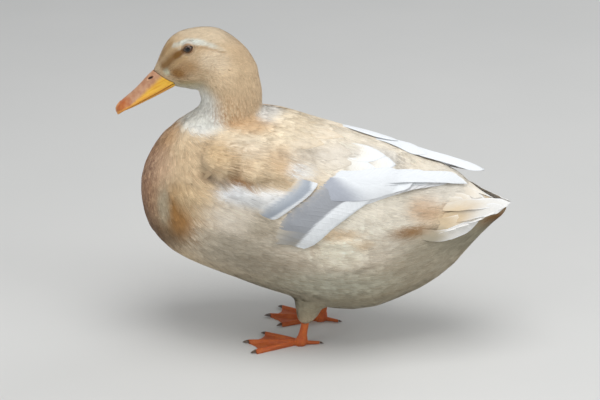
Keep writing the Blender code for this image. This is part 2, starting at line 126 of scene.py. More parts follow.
class Board:
    """The nodes of one material, which ends in a Principled shader."""

    def __init__(self, name, **constants):
        self.material = bpy.data.materials.new(name)
        self.material.use_nodes = True
        self.tree = self.material.node_tree
        self.shader = self.tree.nodes["Principled BSDF"]
        for socket, value in constants.items():
            self.shader.inputs[socket.replace("_", " ")].default_value = value

    def add(self, kind, settings, inputs, output=0):
        """A node of that kind: its settings first, then the values or wires of its sockets."""
        node = self.tree.nodes.new(kind)
        for key, value in settings.items():
            if key == "stops":
                ramp = node.color_ramp
                while len(ramp.elements) < len(value):
                    ramp.elements.new(0.5)
                for element, (place, colour) in zip(ramp.elements, value):
                    element.position = place
                    element.color = colour
            else:
                setattr(node, key, value)
        pairs = inputs.items() if isinstance(inputs, dict) else enumerate(inputs)
        for key, value in pairs:
            if isinstance(value, Wire):
                self.tree.links.new(value.socket, node.inputs[key])
            elif value is not None:
                node.inputs[key].default_value = value
        return Wire(self, node.outputs[output])

    def place(self):
        """X, Y and Z of a point on the piece, as three wires."""
        point = self.add("ShaderNodeTexCoord", {}, [], "Object")
        return [self.add("ShaderNodeSeparateXYZ", {}, [point], axis) for axis in "XYZ"], point

    def blend(self, factor, first, second, mode="MIX"):
        """Colour first where factor is 0 and second where it is 1."""
        return self.add("ShaderNodeMix", {"data_type": "RGBA", "blend_type": mode},
                        {0: factor, 6: first, 7: second}, 2)

    def noise(self, point, scale, detail=3.0, roughness=0.55, distortion=0.0):
        return self.add("ShaderNodeTexNoise", {}, {"Vector": point, "Scale": scale, "Detail": detail,
                                                   "Roughness": roughness, "Distortion": distortion})

    def cells(self, feature, point, scale):
        return self.add("ShaderNodeTexVoronoi", {"feature": feature}, {"Vector": point, "Scale": scale},
                        "Distance")

    def bumps(self, height, strength, distance):
        return self.add("ShaderNodeBump", {}, {"Strength": strength, "Distance": distance, "Height": height})

    def xyz(self, *values):
        return self.add("ShaderNodeCombineXYZ", {}, values)

    def kept_colour(self):
        """The colour that the mesh keeps for each of its points."""
        return self.add("ShaderNodeAttribute", {"attribute_name": "plumage"}, [], "Color")

    def plug(self, **sockets):
        """Joins wires to the shader's own sockets."""
        for socket, wire in sockets.items():
            self.tree.links.new(wire.socket, self.shader.inputs[socket.replace("_", " ")])
        return self.material


def hue(red, green, blue):
    """A colour from everyday 0 to 255 values, as the light-true numbers that shaders use."""
    return tuple(((c / 255 + 0.055) / 1.055) ** 2.4 for c in (red, green, blue)) + (1.0,)


def pigment(shade):
    """Such a colour as an array of three numbers, to reckon with."""
    return np.array(hue(*shade)[:3])


print("a middle grey is", [round(v, 3) for v in hue(128, 128, 128)])

# %% [markdown]
# ## The surface of the coat
#
# From outside, a duck is one smooth form: the feathers of the neck, trunk and wings close over every
# joint. The solids stop at the tips of that coat, so the first thing made is one closed surface
# through them all. The copies are welded, joined and remeshed with a fine grid, which closes the thin
# cuts between them, and are then smoothed. The long thin wing tips are left off, as they stand free.

# %% Copy, join and remesh the solids
def select(*things):
    """Selects these objects and nothing else. The first is the active one."""
    bpy.ops.object.select_all(action="DESELECT")
    for thing in things:
        thing.select_set(True)
    bpy.context.view_layer.objects.active = things[0]


def edit(operator, **settings):
    """Uses an operator of edit mode on the whole mesh of the active object."""
    bpy.ops.object.mode_set(mode="EDIT")
    bpy.ops.mesh.select_all(action="SELECT")
    operator(**settings)
    bpy.ops.object.mode_set(mode="OBJECT")


def use_modifier(thing, kind, **settings):
    """Adds a modifier and applies it at once."""
    select(thing)
    modifier = thing.modifiers.new(kind, kind)
    for key, value in settings.items():
        setattr(modifier, key, value)
    bpy.ops.object.modifier_apply(modifier=modifier.name)


def placed(name, data):
    """A new object in the scene."""
    thing = bpy.data.objects.new(name, data)
    bpy.context.scene.collection.objects.link(thing)
    return thing


def copy_of(nodes, name):
    """One new object from copies of solids, with their loose triangles welded."""
    copies = [placed(name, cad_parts[node].data.copy()) for node in nodes]
    for copy in copies:
        copy.data.materials.clear()
    select(*copies)
    if len(copies) > 1:
        bpy.ops.object.join()
    edit(bpy.ops.mesh.remove_doubles, threshold=0.00002)
    bpy.context.object.name = name
    return bpy.context.object


WING_BODY_END = 0.098  # the thin wing tips behind this place stand free
COAT_GRID = 0.0022
wing_bodies = copy_of(WINGS, "wing_bodies")
edit(bpy.ops.mesh.bisect, plane_co=(WING_BODY_END, 0, 0), plane_no=(1, 0, 0), use_fill=True, clear_outer=True)
coat = copy_of(FLESH, "coat")
wing_bodies.select_set(True)
bpy.ops.object.join()
use_modifier(coat, "REMESH", mode="VOXEL", voxel_size=COAT_GRID)
use_modifier(coat, "SMOOTH", factor=0.5, iterations=9)
print("coat surface", len(coat.data.vertices), "points")

# %% [markdown]
# The coat isn't quite even. It swells in soft lobes over the shoulder, where the scapular feathers
# bunch, dips in a small dark hollow where the breast feathers overlap the bend of the wing, and is
# drawn in along the wing's lower edge. Each swelling or hollow is an ellipsoid that pushes the
# surface out or in, most in its middle.

# %% Swellings and hollows of the coat
def points_of(thing, kind="co"):
    """The points of an object's mesh as an array."""
    flat = np.empty(len(thing.data.vertices) * 3)
    thing.data.vertices.foreach_get(kind, flat)
    return flat.reshape(-1, 3)


def normals_of(thing):
    """The way that the mesh faces at each of its points."""
    return points_of(thing, "normal")


def put_points(thing, points):
    thing.data.vertices.foreach_set("co", points.ravel())
    thing.data.update()


def folded(points):
    """The points with the right half laid over the left, as markings and forms match on both sides."""
    return points * (1, 0, 1) - np.abs(points) * (0, 1, 0)


def smooth(t):
    """0 below 0 and 1 above 1, with a soft rise between them."""
    t = np.clip(t, 0, 1)
    return t * t * (3 - 2 * t)


def inside(points, middle, reach, softness):
    """1 within an ellipsoid and 0 beyond it, fading over that share of its reach."""
    away = np.linalg.norm((points - np.array(middle) * MM) / (np.array(reach) * MM), axis=1)
    return smooth((1 - away) / softness + 0.5)


RELIEF = [
    # middle, reach, softness, height in millimetres
    ((-97, -70, 238), (17, 24, 17), 0.8, 5.0),
    ((-61, -78, 233), (18, 24, 20), 0.8, 5.2),
    ((-28, -70, 240), (18, 26, 20), 0.9, 3.6),
    ((-136, -66, 205), (20, 24, 20), 1.0, 2.4),
    ((-78, -83, 227), (6, 16, 14), 1.0, -2.6),
    ((-46, -82, 226), (5, 16, 14), 1.0, -2.0),
    ((-114, -76, 219), (10, 16, 8), 1.0, -2.8),
    ((-97, -83, 215), (16, 18, 10), 1.0, -3.0),
    ((-74, -88, 214), (18, 16, 10), 1.0, -2.4),
    ((-44, -90, 213), (24, 16, 7), 1.0, -2.0),
    ((-60, -90, 200), (34, 18, 13), 1.0, 1.4),
    ((38, -86, 133), (36, 22, 20), 0.45, 3.6),
    ((66, -74, 164), (40, 24, 20), 1.0, 3.0),
    ((-8, -90, 142), (24, 14, 7), 1.0, -2.0),
    ((-126, 0, 298), (14, 16, 9), 1.0, 2.6),
]


def waves(points, across, along, count, seed):
    """A gentle random pattern from -1 to 1, longer along the body than across it, in metres."""
    chance = np.random.default_rng(seed)
    total = np.zeros(len(points))
    for _ in range(count):
        way = chance.normal(0, 1, 3) * (1 / along, 1 / across, 1 / across)
        total += np.sin(points @ way * 2.2 + chance.uniform(0, 6.28))
    return total / math.sqrt(count / 2) * 0.6


points = points_of(coat)
half = folded(points)
push = np.zeros(len(points))
for middle, reach, softness, height in RELIEF:
    push += height * MM * inside(half, middle, reach, softness)
below_head = 1 - np.clip((points[:, 2] - 0.25) / 0.03, 0, 1)
push += (0.15 + 0.35 * below_head) * MM * waves(points, 0.012, 0.045, 14, 5)
put_points(coat, points + normals_of(coat) * push[:, None])
use_modifier(coat, "SMOOTH", factor=0.5, iterations=3)
print("deepest hollow", round(push.min() / MM, 1), "mm, highest lobe", round(push.max() / MM, 1), "mm")

# %% [markdown]
# Feathers are laid on this surface by asking, for any point near it, where the nearest surface point
# is and which way it faces. A bounding volume tree answers that quickly.

# %% Ask the coat surface for its nearest point
def tree_of(thing):
    """A search tree of an object's faces."""
    shape = bmesh.new()
    shape.from_mesh(thing.data)
    tree = BVHTree.FromBMesh(shape)
    shape.free()
    return tree


COAT_TREE = tree_of(coat)
COAT_NORMALS = normals_of(coat)
COAT_POINTS = points_of(coat)
COAT_CORNERS = [tuple(p.vertices) for p in coat.data.polygons]


def unit(rows):
    """The same directions, each at length 1."""
    return rows / np.linalg.norm(rows, axis=1, keepdims=True)


def settle(points):
    """Nearest places on the coat, and the directions that the coat faces there."""
    places = np.empty_like(points)
    facing = np.empty_like(points)
    for i, point in enumerate(points):
        place, _, face, _ = COAT_TREE.find_nearest(point)
        places[i] = place
        corners = COAT_CORNERS[face]
        near = [1 / (1e-7 + sum((COAT_POINTS[c][k] - place[k]) ** 2 for k in range(3))) for c in corners]
        facing[i] = sum(COAT_NORMALS[c] * w for c, w in zip(corners, near))
    return places, unit(facing)


print("coat tree of", len(COAT_CORNERS), "faces")

# %% [markdown]
# ## The markings
#
# One function gives the colour of the plumage at any place, and skin and feathers all ask it, so they
# carry the same markings. It starts from the buff of the body and lays on one soft-edged patch or
# streak after another: ellipsoids for patches and bands along short lines for streaks. Some patches and
# one streak are painted shade, not markings: under the breast, belly and lower flanks, in the hollows
# round the shoulder lobes, and along the front edge of the rear flank. Both sides of the bird match, so
# only the left side is described.

# %% Colour at any place of the plumage
def streak(points, line, reach, softness):
    """1 along a line through those places and 0 further than reach from it, in millimetres."""
    line = np.array(line, float) * MM
    nearest = np.full(len(points), 1e9)
    for a, b in zip(line[:-1], line[1:]):
        along = np.clip((points - a) @ (b - a) / ((b - a) @ (b - a)), 0, 1)
        nearest = np.minimum(nearest, np.linalg.norm(points - a - along[:, None] * (b - a), axis=1))
    return smooth((1 - nearest / (reach * MM)) / softness + 0.5)


PATCHES = [
    # colour, middle, reach, softness, strength
    ((228, 212, 184), (-40, -40, 262), (95, 75, 34), 0.8, 1.0),
    ((238, 228, 210), (70, -20, 225), (110, 70, 42), 0.8, 1.0),
    ((226, 214, 194), (0, -90, 140), (150, 60, 55), 0.8, 1.0),
    # painted shade: the belly darker, as the underside is in shade
    ((160, 152, 130), (10, -20, 74), (160, 80, 46), 1.0, 1.0),
    ((240, 234, 218), (78, -70, 172), (60, 34, 38), 1.0, 0.85),
    ((190, 149, 114), (-188, 0, 195), (44, 66, 82), 0.9, 1.0),
    # painted shade: the lower breast darker, as it is in shade
    ((136, 106, 76), (-178, 0, 138), (46, 60, 42), 0.9, 0.95),
    ((196, 160, 118), (-168, 0, 246), (24, 44, 14), 0.9, 0.8),
    ((212, 186, 150), (-120, -60, 215), (40, 40, 50), 0.8, 0.9),
    ((166, 112, 38), (-146, -72, 170), (17, 24, 32), 1.0, 0.85),
    ((214, 184, 140), (-138, -74, 196), (14, 20, 14), 1.0, 0.7),
    ((190, 178, 152), (-163, -66, 178), (8, 22, 22), 0.9, 0.8),
    ((216, 182, 140), (-31, -72, 238), (13, 20, 17), 1.2, 0.7),
    ((206, 170, 124), (-70, -66, 246), (34, 26, 9), 1.0, 0.35),
    # painted shade: the warm brown valley between the shoulder lobes, and the shadow line under them
    ((182, 140, 96), (-76, -80, 225), (8, 16, 14), 1.2, 0.6),
    ((176, 132, 88), (-76, -86, 216), (18, 16, 5), 1.0, 0.8),
    ((224, 196, 154), (-97, -70, 240), (14, 20, 12), 1.2, 0.6),
    ((232, 208, 172), (-60, -78, 236), (13, 20, 14), 1.0, 0.6),
    ((244, 244, 242), (-10, -74, 229), (12, 18, 8), 0.9, 0.9),
    ((226, 222, 214), (46, -40, 236), (62, 24, 11), 0.9, 0.5),
    ((240, 242, 243), (-82, -88, 202), (22, 20, 11), 0.9, 0.95),
    ((238, 238, 236), (-48, -90, 199), (34, 20, 13), 0.9, 0.95),
    # painted shade: the dark notch where the breast feathers overlap the bend of the wing
    ((104, 78, 52), (-114, -75, 217), (8, 14, 5), 1.0, 0.85),
    ((186, 170, 150), (-98, -80, 215), (14, 14, 5), 1.0, 0.7),
    ((196, 188, 172), (-14, -92, 152), (34, 14, 14), 0.9, 0.8),
    ((242, 236, 216), (34, -88, 138), (34, 22, 20), 1.0, 0.8),
    ((216, 180, 130), (34, -88, 160), (26, 22, 7), 1.0, 0.5),
    ((150, 104, 46), (112, -62, 155), (24, 26, 8), 1.2, 0.95),
    ((206, 168, 112), (64, -80, 146), (12, 20, 6), 1.0, 0.6),
    ((222, 214, 198), (100, -56, 184), (46, 34, 16), 1.0, 0.75),
    ((212, 176, 138), (130, -50, 180), (20, 24, 15), 1.0, 0.75),
    ((176, 168, 148), (120, -40, 118), (60, 44, 34), 1.0, 0.9),
    ((142, 138, 118), (170, -20, 138), (56, 40, 20), 1.0, 0.85),
    ((226, 220, 208), (158, -16, 198), (46, 46, 20), 0.9, 0.9),
    ((122, 84, 40), (208, 0, 157), (22, 40, 11), 1.0, 0.95),
    # painted shade: the lower flanks darker towards the bottom, as the underside is in shade
    ((132, 124, 104), (-84, -74, 134), (46, 40, 24), 1.2, 0.48),
    ((134, 124, 104), (-40, -64, 118), (46, 40, 22), 1.2, 0.5),
    ((188, 188, 170), (30, -50, 96), (64, 50, 20), 1.0, 0.8),
    ((230, 204, 164), (-122, -74, 190), (20, 20, 18), 1.2, 0.75),
    ((240, 230, 214), (-88, -86, 178), (28, 20, 17), 1.2, 0.75),
    ((176, 164, 142), (-52, -88, 166), (20, 20, 13), 1.0, 0.6),
    ((222, 210, 190), (-66, -74, 256), (26, 22, 12), 1.0, 0.55),
    ((216, 184, 152), (-174, -50, 222), (22, 26, 20), 1.2, 0.65),
    ((96, 70, 38), (-160, -46, 142), (24, 36, 16), 1.2, 0.7),
    ((166, 158, 138), (150, -46, 138), (30, 30, 18), 1.0, 0.6),
    ((228, 218, 200), (80, -70, 140), (24, 24, 16), 1.2, 0.6),
    ((202, 174, 134), (-100, -72, 246), (20, 20, 9), 1.2, 0.6),
    ((206, 196, 182), (0, -60, 244), (28, 24, 10), 1.2, 0.55),
    ((206, 203, 198), (82, -38, 236), (30, 24, 10), 1.2, 0.6),
    # neck and head
    ((216, 190, 154), (-95, 0, 292), (58, 60, 34), 0.5, 1.0),
    ((214, 188, 152), (-120, 0, 340), (68, 50, 46), 0.4, 1.0),
    ((208, 190, 162), (-112, 0, 368), (46, 40, 16), 1.0, 0.9),
    ((190, 160, 118), (-164, -8, 346), (12, 20, 14), 1.0, 0.8),
    ((240, 216, 180), (-105, -24, 329), (20, 20, 20), 1.0, 0.8),
    ((244, 226, 198), (-108, -26, 339), (16, 20, 12), 1.0, 0.7),
    ((198, 160, 116), (-68, -32, 268), (26, 26, 8), 0.9, 0.7),
    ((224, 200, 164), (-120, -22, 317), (14, 14, 9), 1.2, 0.6),
    ((196, 170, 136), (-80, 0, 350), (22, 40, 24), 1.2, 0.6),
    ((204, 178, 144), (-70, -20, 290), (30, 40, 16), 1.2, 0.5),
    ((214, 212, 206), (-50, 0, 274), (13, 36, 9), 0.9, 0.9),
    ((184, 170, 124), (-140, -8, 303), (20, 14, 8), 1.0, 0.85),
    ((206, 192, 162), (-122, -16, 304), (14, 16, 8), 1.0, 0.7),
    ((162, 112, 46), (-151, -18, 320), (9, 10, 7), 1.2, 0.85),
    ((190, 150, 102), (-141, -22, 329), (12, 11, 8), 1.2, 0.7),
    ((224, 222, 196), (-165, -14, 320), (4, 7, 4.5), 0.8, 0.95),
    ((242, 244, 242), (-128, -38, 268), (22, 24, 11), 1.0, 0.95),
]
STREAKS = [
    # colour, line, reach, softness, strength
    ((212, 210, 196), [(-156, -14, 351), (-149, -16, 353.5), (-142, -17, 356)], 2.6, 1.0, 0.75),
    ((222, 224, 214), [(-145, -16, 355.5), (-138, -18, 357.5), (-130, -19, 358), (-123, -20.5, 357.5)],
     3.1, 0.9, 1.0),
    ((216, 214, 200), [(-124, -20, 357.5), (-116, -22, 356), (-109, -23, 354)], 2.5, 1.0, 0.9),
    ((212, 202, 180), [(-109, -23, 354), (-100, -24, 351)], 2.2, 1.2, 0.6),
    ((170, 134, 94), [(-131, -22, 352.5), (-122, -23, 352.5), (-111, -24, 350.5), (-98, -24, 348)],
     1.2, 1.2, 0.55),
    ((208, 200, 178), [(-152, -19, 350), (-147, -19.5, 348)], 1.8, 1.0, 0.6),
    ((122, 86, 44), [(-144, -20, 347), (-148, -20, 344), (-153, -19, 340)], 3.2, 1.0, 0.95),
    ((142, 100, 48), [(-151, -19, 342), (-158, -18, 336), (-164, -15, 329), (-168, -12, 326)],
     4.8, 1.7, 0.85),
    ((204, 170, 120), [(-140, -23, 341), (-151, -20, 334), (-160, -17, 325)], 2.4, 1.2, 0.55),
    ((176, 138, 92), [(-172, -5, 330), (-167, -8, 341), (-160, -10, 351)], 3.0, 1.1, 0.6),
    # painted shadow: a brownish line along the front edge of the rear flank's bulge
    ((172, 136, 98), [(6, -90, 147), (10, -89, 135), (20, -87, 125), (34, -84, 119)], 3.2, 1.2, 0.55),
]
BODY_BUFF = (214, 192, 158)
NECK_FRONT = (220, 219, 210)
COLLAR_BACK_EDGE = [(0.255, -0.098), (0.270, -0.100), (0.281, -0.102), (0.296, -0.107), (0.312, -0.115),
                    (0.330, -0.132)]


def plumage_colour(points):
    """Colour of the plumage at each place, as light-true red, green and blue."""
    half = folded(points)
    ragged = waves(points, 0.0016, 0.006, 10, 3) * (0.5 + 1.1 * smooth((0.28 - points[:, 2]) / 0.02)) * MM
    half = half + ragged[:, None] * np.array((0.6, 0.2, 1.0))
    colour = np.tile(pigment(BODY_BUFF), (len(points), 1))

    def lay(shade, amount):
        nonlocal colour
        colour = colour + (pigment(shade) - colour) * amount[:, None]

    for shade, middle, reach, softness, strength in PATCHES:
        lay(shade, inside(half, middle, reach, softness) * strength)
    edge = np.interp(half[:, 2], *zip(*COLLAR_BACK_EDGE))
    behind = smooth((edge - half[:, 0]) / 0.026 + 0.5)
    upper = smooth((0.302 - half[:, 2]) / 0.018 + 0.5)
    lower = smooth((half[:, 2] - 0.2585 - 0.10 * (half[:, 0] + 0.152)) / 0.006 + 0.5)
    lay(NECK_FRONT, behind * upper * lower)
    for shade, line, reach, softness, strength in STREAKS:
        lay(shade, streak(half, line, reach, softness) * strength)
    mottle = 1 + 0.03 * waves(points, 0.004, 0.012, 12, 8)
    return colour * mottle[:, None]


print(len(PATCHES), "patches and", len(STREAKS), "streaks")

# %% [markdown]
# ## The skin
#
# Under the feathers one skin runs from the bill to the tail and down to the bare legs. It is the coat
# surface moved inwards by the depth of the plumage: about a millimetre on the face, four on the neck
# and seven on the body. Building it from the same surface keeps it hidden everywhere, and it carries
# the same markings, so no gap between feathers ever shows a wrong colour.

# %% Move a copy of the coat inwards
def coat_depth(points):
    """Depth of the plumage in metres, least round the bill and the eyes."""
    from_bill = np.linalg.norm(points - np.array(BILL_ROOT), axis=1)
    head = smooth((points[:, 2] - 0.285) / 0.03) * smooth((-0.06 - points[:, 0]) / 0.02)
    body = 6.5 - 2.5 * smooth((points[:, 2] - 0.25) / 0.03)
    face = 0.7 + 1.5 * smooth((from_bill - 0.015) / 0.06)
    legs = smooth((0.075 - points[:, 2]) / 0.025) * smooth((0.05 - np.abs(points[:, 0] - LEGS_MIDDLE)) / 0.02)
    depth = body * (1 - head) + face * head
    return (depth * (1 - legs) + 1.6 * legs) * MM


skin = placed("skin", coat.data.copy())
points = points_of(skin)
put_points(skin, points - normals_of(skin) * coat_depth(points)[:, None])
use_modifier(skin, "SMOOTH", factor=0.4, iterations=2)
print("skin", len(skin.data.polygons), "faces")

# %% [markdown]
# Around each eye the skin rises to a thin lid that lies on the eyeball. The lid is a ring of faces
# whose rows step from its free edge on the ball, over a rounded rim, and down under the feathers of
# the face. It is joined to the skin, so that skin and lids are one.

# %% Shape the lids
LID_OPENING = (5.3, 4.3)  # half length and half height of the open eye, in millimetres
LID_ROWS = [
    # outwards from the opening and height, in millimetres, and 0 on the ball or 1 on the coat
    (0.0, 0.10, 0), (0.4, 0.48, 0), (0.95, 0.60, 0), (1.6, 0.60, 0),
    (2.2, 0.75, 1), (3.2, 0.15, 1), (4.6, -1.2, 1)]
LID_TURNS = 40  # points round each row
LID_CLEAR = 0.45 * MM  # the least height over the ball of the rows on the coat


def eye_middle(hand):
    return EYE_MIDDLE + Vector((0, -hand * EYE_OUT, 0))


def lid_point(hand, row, t):
    """The point of a lid's row at an angle t round the eye."""
    grow, height, on_coat = row
    middle, out = np.array(eye_middle(hand)), np.array((0, -hand, 0))
    corner = 1.0 + 0.13 * max(0, math.cos(t)) ** 12 + 0.10 * max(0, -math.cos(t)) ** 12
    ahead = (LID_OPENING[0] * corner + grow) * math.cos(t)
    above = (LID_OPENING[1] + grow) * math.sin(t)
    flat = middle + (np.array(HEAD_FORWARD) * ahead + np.array(HEAD_UP) * above) * MM
    ground, up = settle((flat + out * 0.006)[None])
    place = ground[0] + up[0] * height * MM
    if on_coat:
        away = np.linalg.norm(place - middle)
        return middle + (place - middle) * max(1, (EYE_RADIUS + LID_CLEAR) / away)
    deep = math.sqrt(max(0, (EYE_RADIUS / MM) ** 2 - ahead**2 - above**2))
    on_ball = flat + out * (deep + height) * MM
    lowest = place - up[0] * (2.2 - grow) * 0.9 * MM
    return on_ball if (on_ball - lowest) @ out > 0 else lowest


def lid_ring(hand):
    """Points and faces of one lid."""
    angles = [2 * math.pi * k / LID_TURNS for k in range(LID_TURNS)]
    points = [lid_point(hand, row, t) for row in LID_ROWS for t in angles]
    faces = []
    for row in range(len(LID_ROWS) - 1):
        for k in range(LID_TURNS):
            a, b = row * LID_TURNS + k, row * LID_TURNS + (k + 1) % LID_TURNS
            face = (a, b, b + LID_TURNS, a + LID_TURNS)
            faces.append(face if hand > 0 else face[::-1])
    return points, faces


for hand in (1, -1):
    ring_points, ring_faces = lid_ring(hand)
    mesh = bpy.data.meshes.new("lid")
    mesh.from_pydata([tuple(p) for p in ring_points], [], ring_faces)
    lid = placed("lid", mesh)
    use_modifier(lid, "SUBSURF", levels=1, render_levels=1)
    select(skin, lid)
    bpy.ops.object.join()
print("skin with lids", len(skin.data.polygons), "faces")

# %% [markdown]
# The skin's unwrap is made once, and each feather's OFBake map gives its colours a small patch at its
# root's place on it. Smart project cuts the skin into flat islands by the way its faces point.

# %% Unwrap the skin
select(skin)
edit(bpy.ops.uv.smart_project, angle_limit=math.radians(60), island_margin=0.004)
skin.data.uv_layers[0].name = "OFBake"
SKIN_TREE = tree_of(skin)
corner_uv = np.empty(len(skin.data.loops) * 2)
skin.data.uv_layers["OFBake"].data.foreach_get("uv", corner_uv)
corner_uv = corner_uv.reshape(-1, 2)
SKIN_UV = np.array([corner_uv[list(p.loop_indices)].mean(axis=0) for p in skin.data.polygons])


def bake_place(points):
    """Where the skin's unwrap has the skin under each point."""
    return np.array([SKIN_UV[SKIN_TREE.find_nearest(p)[2]] for p in points])


print("unwrapped", len(SKIN_UV), "faces")

# %% [markdown]
# The skin's material is plain soft leather in the colours of the plumage, a little darker, with fine
# pimples where quills leave it.

# %% Skin material and colours
def paint(thing, colours):
    """Keeps a colour for each point of a mesh, for its material to read."""
    layer = thing.data.color_attributes.new("plumage", "FLOAT_COLOR", "POINT")
    layer.data.foreach_set("color", np.hstack([colours, np.ones((len(colours), 1))]).ravel())


def skin_material():
    board = Board("feathered_skin", Roughness=0.75, Specular_IOR_Level=0.25)
    _, point = board.place()
    shade = board.blend(board.noise(point, 160, 3) * 0.6, board.kept_colour(), hue(150, 112, 84))
    return board.plug(Base_Color=shade, Normal=board.bumps(board.cells("F1", point, 700), 0.3, 0.0004))


def finished(thing, material, slot, *nodes, smooth_shaded=True):
    """Gives a piece its material, its ride on the body, and the solids that it stands for."""
    thing.data.materials.clear()
    thing.data.materials.append(material)
    if smooth_shaded:
        thing.data.shade_smooth()
    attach(thing, "root")
    if nodes:
        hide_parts(*nodes)


def round_eyes(points):
    """Distance of places from the line through the middles of both eyes, in metres."""
    away = points - np.array(EYE_MIDDLE)
    return np.hypot(away @ np.array(HEAD_FORWARD), away @ np.array(HEAD_UP))


LID_SKIN = (150, 122, 92)
LID_SKIN_REACH = 6.6 * MM
HEAD_CORE = 0.012  # what is nearer the middle of the head isn't beside an eye
skin_points = points_of(skin)
rim = smooth((LID_SKIN_REACH - round_eyes(skin_points)) / (1.2 * MM))
rim = (rim * (np.abs(skin_points[:, 1]) >= HEAD_CORE))[:, None]
paint(skin, plumage_colour(skin_points) * 0.8 * (1 - rim) + pigment(LID_SKIN) * rim)
finished(skin, skin_material(), "buff_plumage", *FLESH)
print("skin coloured at", len(skin_points), "points")

# %% [markdown]
# ## How the feathers lie
#
# Feathers point away from the bill: back over the head, down the neck, and back and a little down
# along the body. A function gives that direction anywhere, and others give the length and width that
# a feather has there, from four millimetres on the face to over thirty on the back.

# %% Lie and size of the feathers
def lie(points, facing):
    """Direction in which the feathers point at each place, along the coat."""
    from_bill = points - np.array(BILL_ROOT)
    far = np.linalg.norm(from_bill, axis=1, keepdims=True)
    head_way = from_bill / far + np.array((0, 0, -0.35)) * smooth((far - 0.05) / 0.05)
    neck_way = np.tile(np.array((0.10, 0, -1.0)), (len(points), 1))
    down = np.where(points[:, 2] < 0.16, -0.12, -0.30) + 0.45 * smooth((points[:, 0] - 0.03) / 0.12)
    front = smooth((-0.10 - points[:, 0]) / 0.08)
    body_way = np.stack([1 - 0.85 * front, 0 * down, down - 0.9 * front], axis=1)
    to_neck = smooth((0.335 - points[:, 2] + 0.35 * (points[:, 0] + 0.10)) / 0.045)[:, None]
    upper_way = head_way * (1 - to_neck) + neck_way * to_neck
    on_neck = smooth((points[:, 2] - NECK_LOW) / 0.022) * smooth((NECK_END - points[:, 0]) / 0.02)
    way = body_way * (1 - on_neck[:, None]) + upper_way * on_neck[:, None]
    way -= facing * np.sum(way * facing, axis=1, keepdims=True)
    return way / (np.linalg.norm(way, axis=1, keepdims=True) + 1e-9)


def feather_size(points):
    """Length and width of a feather in metres, and the distance to the next one's root."""
    from_bill = np.linalg.norm(points - np.array(BILL_ROOT), axis=1)
    x, z = points[:, 0], points[:, 2]
    head = smooth((z - HEAD_LOW) / 0.025) * smooth((HEAD_END - x) / 0.02)
    neck = smooth((z - 0.258) / 0.022) * smooth((NECK_END - x) / 0.02) * (1 - head)
    body = 1 - head - neck
    face = smooth((from_bill - 0.012) / 0.07)
    back = smooth((z - 0.20) / 0.04) * smooth((x + 0.13) / 0.05)
    legs = smooth((0.085 - z) / 0.03) * smooth((0.05 - np.abs(x - LEGS_MIDDLE)) / 0.02)
    front = smooth((BREAST_END - x) / 0.06)
    body_long = 27 + 5 * back - 7 * front - 14 * legs
    length = head * (3.6 + 4.0 * face) + neck * 9.5 + body * body_long
    width = head * (1.5 + 1.0 * face) + neck * 3.4 + body * body_long * 0.55
    apart = head * (1.25 + 0.75 * face) + neck * 2.7 + body * body_long * 0.235
    return length * MM, width * MM, apart * MM


print("feathers on the back are", round(feather_size(np.array([(0, 0, 0.24)]))[0][0] / MM), "mm long")

# %% [markdown]
# Roots are scattered by throwing darts: random places on the coat are kept one by one unless another
# root is already too near, which spaces them evenly without rows. A grid of cells, each as wide as the
# greatest distance asked for, keeps the search short.

# %% Scatter the roots
ROOT_CELL = 0.008
NEXT_CELLS = [(dx, dy, dz) for dx in (-1, 0, 1) for dy in (-1, 0, 1) for dz in (-1, 0, 1)]


def random_places(count, weigh):
    """Places at random on the coat. weigh(middles, areas) gives each of its triangles a weight."""
    coat.data.calc_loop_triangles()
    flat = np.empty(len(coat.data.loop_triangles) * 3, dtype=int)
    coat.data.loop_triangles.foreach_get("vertices", flat)
    triangles = points_of(coat)[flat.reshape(-1, 3)]
    edge_a, edge_b = triangles[:, 1] - triangles[:, 0], triangles[:, 2] - triangles[:, 0]
    wanted = weigh(triangles.mean(axis=1), np.linalg.norm(np.cross(edge_a, edge_b), axis=1))
    chosen = CHANCE.choice(len(triangles), count, p=wanted / wanted.sum())
    a, b = CHANCE.random((2, count, 1))
    over = (a + b) > 1
    a, b = np.where(over, 1 - a, a), np.where(over, 1 - b, b)
    return triangles[chosen, 0] + a * edge_a[chosen] + b * edge_b[chosen]


def throw_darts(tries, keep):
    """Evenly scattered places on the coat. keep(points) says where feathers may grow."""
    points = random_places(tries, lambda middles, areas: areas / feather_size(middles)[2] ** 2)
    points = points[keep(points)]
    _, _, apart = feather_size(points)
    grid, kept = {}, []
    for i, (x, y, z) in enumerate(points.tolist()):
        near = apart[i] * apart[i]
        home = (int(x // ROOT_CELL), int(y // ROOT_CELL), int(z // ROOT_CELL))
        if all((px - x) ** 2 + (py - y) ** 2 + (pz - z) ** 2 >= near
               for dx, dy, dz in NEXT_CELLS
               for px, py, pz in grid.get((home[0] + dx, home[1] + dy, home[2] + dz), ())):
            grid.setdefault(home, []).append((x, y, z))
            kept.append(i)
    return points[kept]


print("search cells of", ROOT_CELL / MM, "mm")

# %% [markdown]
# ## One small feather
#
# A small feather is a flat vane with a shaft down its middle and barbs that run out from it and
# forward. The pattern made here has a few broad bunches of barbs on each side, joined along the shaft
# and free at their points, so that its edge is a soft fringe and not a cut line. Its points are given
# across (-1 to 1) and along (0 at the root, 1 at the tip). It is made once and copied with arrays,
# because thousands of copies by hand would take hours.

# %% The pattern of a small feather
SWEEP = 0.2  # how far the barbs slant forward, as a share of the feather


def vane_width(v):
    """Width of the vane along the feather, as a share of its greatest."""
    return np.interp(v, (0, 0.2, 0.45, 0.7, 0.88, 1.0), (0.40, 0.75, 0.98, 1.0, 0.80, 0.42))


